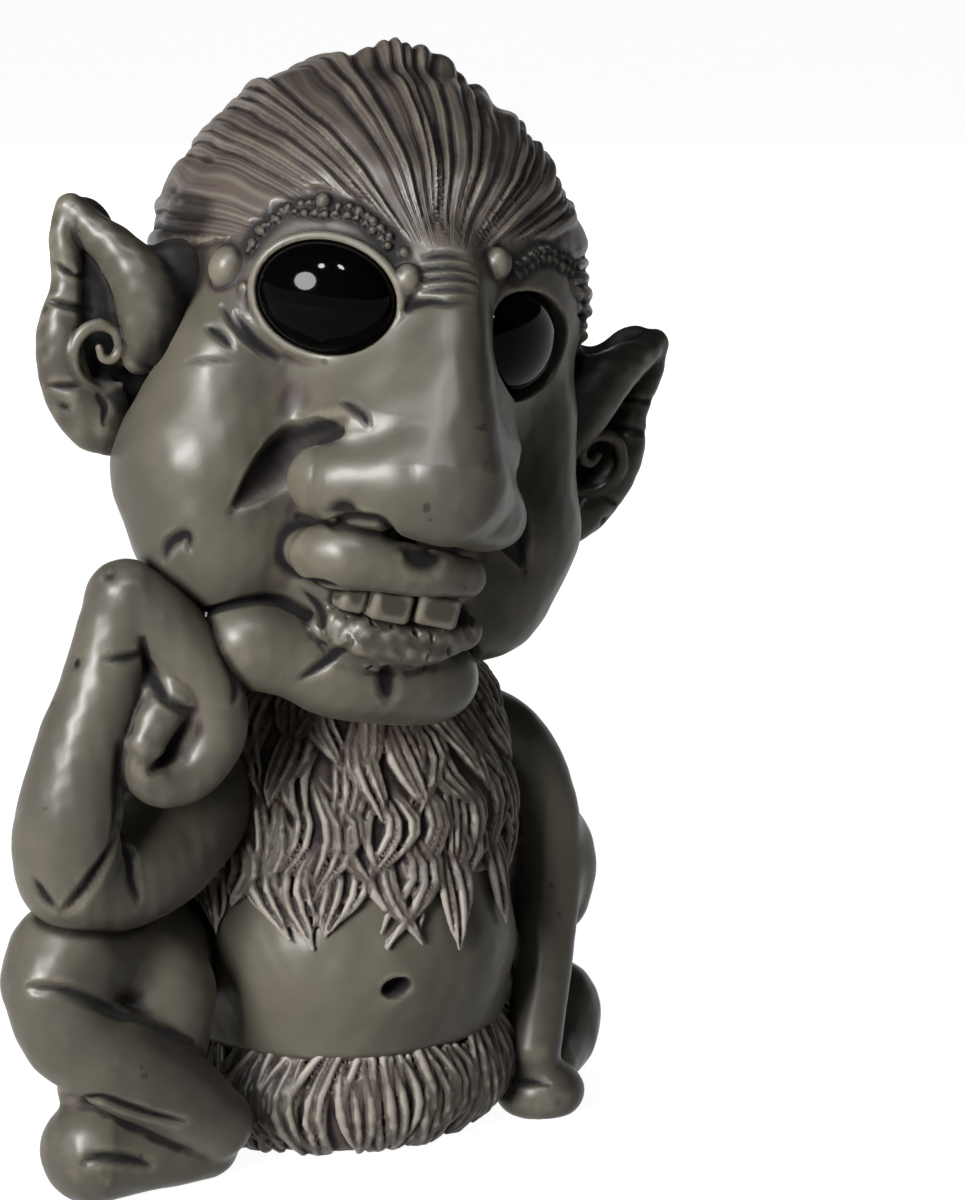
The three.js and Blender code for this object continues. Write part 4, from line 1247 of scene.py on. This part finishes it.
class Paint:
    """A material, and its nodes."""

    def __init__(self, name):
        self.material = bpy.data.materials.new(name)
        self.material.use_nodes = True
        self.nodes = self.material.node_tree.nodes
        self.shader = self.nodes["Principled BSDF"]

    def set(self, node, inputs):
        """Sets sockets, each to a value or to what comes out of another node."""
        for socket, value in inputs.items():
            if isinstance(value, bpy.types.NodeSocket):
                self.material.node_tree.links.new(value, node.inputs[socket])
            else:
                node.inputs[socket].default_value = value

    def add(self, kind, result, inputs=None, **settings):
        """What comes out of a new node at the socket named as its result."""
        node = self.nodes.new("ShaderNode" + kind)
        for setting, value in settings.items():
            setattr(node, setting, value)
        self.set(node, inputs or {})
        return node.outputs[result]

    def spread(self, value, low, high):
        """A value from low to high as 0 to 1."""
        inputs = {"Value": value, "From Min": low, "From Max": high}
        return self.add("MapRange", "Result", inputs, interpolation_type="SMOOTHSTEP")

    def mixed(self, share, first, second):
        inputs = {MIX_SHARE: share, MIX_FIRST: first, MIX_SECOND: second}
        return self.add("Mix", MIX_RESULT, inputs, data_type="RGBA")

    def maths(self, operation, first, second):
        return self.add("Math", "Value", {0: first, 1: second}, operation=operation)

    def times(self, first, second):
        return self.maths("MULTIPLY", first, second)

    def plus(self, first, second):
        return self.maths("ADD", first, second)

    def noise(self, scale, detail=4, roughness=0.55):
        place = self.add("TexCoord", "Object")
        return self.add("TexNoise", "Fac", {
            "Scale": scale, "Detail": detail, "Roughness": roughness, "Vector": place})

    def attribute(self, name):
        return self.add("Attribute", "Fac", attribute_name=name)

    def bumped(self, height, distance, strength=1.0):
        bump = self.add("Bump", "Normal", {"Strength": strength, "Distance": distance, "Height": height})
        self.set(self.shader, {"Normal": bump})


def srgb(red, green, blue):
    """Linear colour of a screen colour given from 0 to 255."""
    channels = [channel / 255 for channel in (red, green, blue)]
    linear = [c / 12.92 if c <= 0.04045 else ((c + 0.055) / 1.055) ** 2.4 for c in channels]
    return (*linear, 1)


SKIN_BASE = srgb(112, 107, 94)
SKIN_COOL = srgb(97, 92, 82)
SKIN_PALE = srgb(160, 152, 136)
HAIR_BASE = srgb(103, 93, 85)
HAIR_PALE = srgb(186, 177, 166)
HAIR_DARK = srgb(52, 43, 40)
# Dark colours of the hollows: the finish's own wash, which here also paints the shade, and near-black for the
# deepest painted shade
DARK_WASH_AND_SHADE = srgb(24, 17, 16)
MAUVE_WASH_AND_SHADE = srgb(58, 44, 45)
NEAR_BLACK_SHADE = srgb(11, 9, 11)
THREADS = 3  # lines of colour to half a strand of hair


def cast_paint(name, base, pale, wash_and_shade_depths, rubs, rub_share, roughness):
    """Painted resin: a tinted base, a dark wash with painted shade in the hollows and a pale rub on what
    stands proud.

    The wash and its painted shade set in at the first of its three depths in millimetres, the rub between its
    two heights.
    """
    paint = Paint(name)
    spread, mixed, times, plus = paint.spread, paint.mixed, paint.times, paint.plus
    fine = paint.attribute("relief_fine")
    broad = paint.attribute("relief_broad")
    hair = paint.attribute("hair")
    ink = paint.attribute("ink")
    cloud = paint.noise(45, 5)
    specks = paint.noise(420, 6, 0.7)

    tint = mixed(spread(cloud, 0.42, 0.6), base, SKIN_COOL)
    threads = paint.maths("PINGPONG", times(paint.attribute("strand"), THREADS), 0.5)
    threads = times(plus(times(threads, 2), times(paint.maths("SUBTRACT", cloud, 0.5), 1.5)), hair)
    tint = mixed(hair, tint, HAIR_BASE)
    tint = mixed(times(spread(threads, 0.6, 1.1), 0.22), tint, HAIR_PALE)
    tint = mixed(times(spread(threads, 0.3, 0.0), times(hair, 0.4)), tint, HAIR_DARK)
    jitter = times(paint.maths("SUBTRACT", specks, 0.5), 0.12)
    rubbed = spread(plus(plus(fine, times(broad, 0.12)), jitter), *rubs)
    tint = mixed(times(rubbed, rub_share), tint, pale)
    # Mauve and dark wash in the hollows by relief, deepened into painted shade
    sunk = plus(plus(times(broad, -0.22), times(fine, -1.0)), times(jitter, 0.4))
    hollow_wash_and_shade = spread(sunk, wash_and_shade_depths[0], wash_and_shade_depths[1])
    tint = mixed(times(hollow_wash_and_shade, 0.8), tint, MAUVE_WASH_AND_SHADE)
    tint = mixed(times(spread(sunk, wash_and_shade_depths[1] * 0.75, wash_and_shade_depths[2]), 0.95), tint, DARK_WASH_AND_SHADE)
    tint = mixed(times(spread(paint.noise(240, 3, 0.6), 0.69, 0.75), 0.55), tint, DARK_WASH_AND_SHADE)
    # Painted shade where parts touch and in hollows, kept off what is rubbed
    shade_and_wash_share = times(paint.attribute("soot"), paint.maths("SUBTRACT", 1, times(rubbed, 0.75)))
    tint = mixed(times(shade_and_wash_share, 0.9), tint, DARK_WASH_AND_SHADE)
    # Near-black painted shade goes on last
    paint.set(paint.shader, {
        "Base Color": mixed(ink, tint, NEAR_BLACK_SHADE),
        "Roughness": plus(plus(times(hollow_wash_and_shade, 0.25), times(ink, 0.4)), roughness),
        "Specular IOR Level": 0.15,
    })
    paint.bumped(plus(specks, threads), 0.00015, 0.3)
    return paint.material


skin_paint = cast_paint("painted_skin", SKIN_BASE, SKIN_PALE, (0.02, 0.11, 0.2), (0.05, 0.16), 0.45, 0.37)
fur_paint = cast_paint("painted_fur", HAIR_BASE, HAIR_PALE, (0.0, 0.08, 0.16), (0.06, 0.2), 0.85, 0.45)

eye_glass = Paint("eye_glass")
eye_glass.set(eye_glass.shader, {
    "Base Color": eye_glass.mixed(eye_glass.noise(60, 3), srgb(2, 2, 3), srgb(9, 9, 10)),
    "Roughness": 0.06,
    "Specular IOR Level": 0.04,
})

felt = Paint("felt_cloth")
fibres = felt.noise(900, 8, 0.75)
felt.set(felt.shader, {
    "Base Color": felt.mixed(fibres, srgb(26, 25, 24), srgb(60, 58, 55)),
    "Roughness": 0.95,
    "Sheen Weight": 0.4,
})
felt.bumped(fibres, 0.0003)

# Pieces
for name, form, cell, marks in (
    ("head", HEAD_CLAY, HEAD_CELL, head_marks),
    ("right_ear", RIGHT_EAR, EAR_CELL, ear_marks),
    ("left_ear", other_side(RIGHT_EAR), EAR_CELL, ear_marks),
):
    cast_piece(name, form, cell, skin_paint, marks, in_head=True)
cast_piece("torso", standing(TORSO), SKIN_CELL, skin_paint, torso_marks)
cast_piece("chest_fur", mantle, FUR_CELL, fur_paint, fur_marks)
cast_piece("hip_fur", skirt, FUR_CELL, fur_paint, fur_marks)
for seed, (name, base, folds, stands, touched) in enumerate((
    ("right_arm", RIGHT_ARM, ARM_FOLDS, False, (RIGHT_LEG, BODY, HEAD_ON_BODY)),
    ("left_arm", LEFT_ARM, WRIST_FOLDS, True, (BODY, LEFT_LEG)),
    ("right_leg", RIGHT_LEG, LEG_FOLDS, True, (RIGHT_ARM, BODY)),
    ("left_leg", LEFT_LEG, [], True, (LEFT_ARM, BODY)),
), start=52):
    creases = carved(base, folds)
    form = clayed(base, creases, seed)
    form = standing(form) if stands else form
    cast_piece(name, form, SKIN_CELL, skin_paint, limb_marks(creases, *touched))

EYE_RINGS = 24
EYE_SEGMENTS = 48


def add_eye(name, place, yaw):
    """A glossy dome over a shallow seat."""
    mesh = bpy.data.meshes.new(name)
    sphere = bmesh.new()
    bmesh.ops.create_uvsphere(sphere, u_segments=EYE_SEGMENTS, v_segments=EYE_RINGS, radius=1)
    axes = eye_axes(yaw)
    for vertex in sphere.verts:
        local = np.array(vertex.co) * (*EYE_HALF, EYE_DOME if vertex.co.z > 0 else EYE_SEAT)
        vertex.co = from_head(np.array(place) + axes @ local) * MM
    sphere.to_mesh(mesh)
    sphere.free()
    mesh.polygons.foreach_set("use_smooth", np.ones(len(mesh.polygons), bool))
    put_in(name, mesh, eye_glass.material)


for side, eye in EYES.items():
    add_eye(side + "_eye", *eye)

# Felt pad: the CAD's own, painted
for node in bpy.data.objects:
    if node.name == "felt_pad" and node.type == "MESH":
        node.data.materials.clear()
        node.data.materials.append(felt.material)

# Stage: a soft key from the camera's left and a lamp behind for the shading, the other lamps for highlights
LAMP_AIM = (0, 0, 0.07)


def add_light(name, azimuth, elevation, distance, size, power, glossy):
    """A lamp for highlights where glossy is true, and one for the shading where it is not."""
    data = bpy.data.lights.new(name, "AREA")
    data.shape = "ELLIPSE" if glossy else "RECTANGLE"
    data.size, data.size_y = size
    data.energy = power
    light = bpy.data.objects.new(name, data)
    light.visible_diffuse = not glossy
    light.visible_glossy = glossy
    a, e = math.radians(azimuth), math.radians(elevation)
    out = np.array([math.sin(a) * math.cos(e), -math.cos(a) * math.cos(e), math.sin(e)])
    side = np.array([math.cos(a), math.sin(a), 0])
    set_down(light, side, np.cross(out, side), out, out * distance + LAMP_AIM)


add_light("key", -57, 15, 0.9, (0.32, 0.4), 8.8, glossy=False)
add_light("back", 156, 14, 0.9, (0.4, 0.4), 5, glossy=False)
add_light("shine", -58, 31, 0.9, (0.34, 0.42), 38, glossy=True)
add_light("glint_low", -43, 59, 1.3, (0.12, 0.2), 12, glossy=True)
add_light("glint_high", -6, 62, 1.3, (0.12, 0.2), 12, glossy=True)

world = bpy.data.worlds.new("world")
bpy.context.scene.world = world
world.use_nodes = True
ambient = world.node_tree.nodes["Background"]
ambient.inputs["Color"].default_value = (0.9, 0.93, 1, 1)
ambient.inputs["Strength"].default_value = 0.04

# The floor runs out to a low wall all round, so that level views see it too.
STAGE_PROFILE = [(2.6, 0.0), (2.9, 0.05), (3.1, 0.2), (3.2, 0.7)]  # radius, height
STAGE_SIDES = 64
FLOOR_MATT = (0.22, 0.22, 0.22, 1)
FLOOR_GLOW = (0.96, 0.96, 0.96, 1)  # seen by the camera, gloss and glass only, with the shadow on it
floor_mesh = bpy.data.meshes.new("floor")
turns = [2 * math.pi * n / STAGE_SIDES for n in range(STAGE_SIDES)]
stage_points = [(r * math.cos(a), r * math.sin(a), z) for r, z in STAGE_PROFILE for a in turns]
stage_faces = [tuple(range(STAGE_SIDES))]
for ring in range(len(STAGE_PROFILE) - 1):
    for n in range(STAGE_SIDES):
        here = ring * STAGE_SIDES + n
        next_one = ring * STAGE_SIDES + (n + 1) % STAGE_SIDES
        stage_faces.append((here, here + STAGE_SIDES, next_one + STAGE_SIDES, next_one))
floor_mesh.from_pydata(stage_points, [], stage_faces)
floor = bpy.data.objects.new("floor", floor_mesh)
bpy.context.scene.collection.objects.link(floor)
floor_paint = Paint("floor_paint")
floor_paint.nodes.clear()
ray = floor_paint.nodes.new("ShaderNodeLightPath").outputs
visible = floor_paint.maths("MAXIMUM", ray["Is Camera Ray"], ray["Is Glossy Ray"])
visible = floor_paint.maths("MAXIMUM", visible, ray["Is Transmission Ray"])
matt = floor_paint.add("BsdfDiffuse", "BSDF", {"Color": FLOOR_MATT})
glow = floor_paint.add("Emission", "Emission", {"Color": FLOOR_GLOW, "Strength": visible})
both_shaders = floor_paint.add("AddShader", "Shader", {0: matt, 1: glow})
floor_paint.set(floor_paint.nodes.new("ShaderNodeOutputMaterial"), {"Surface": both_shaders})
floor_mesh.materials.append(floor_paint.material)
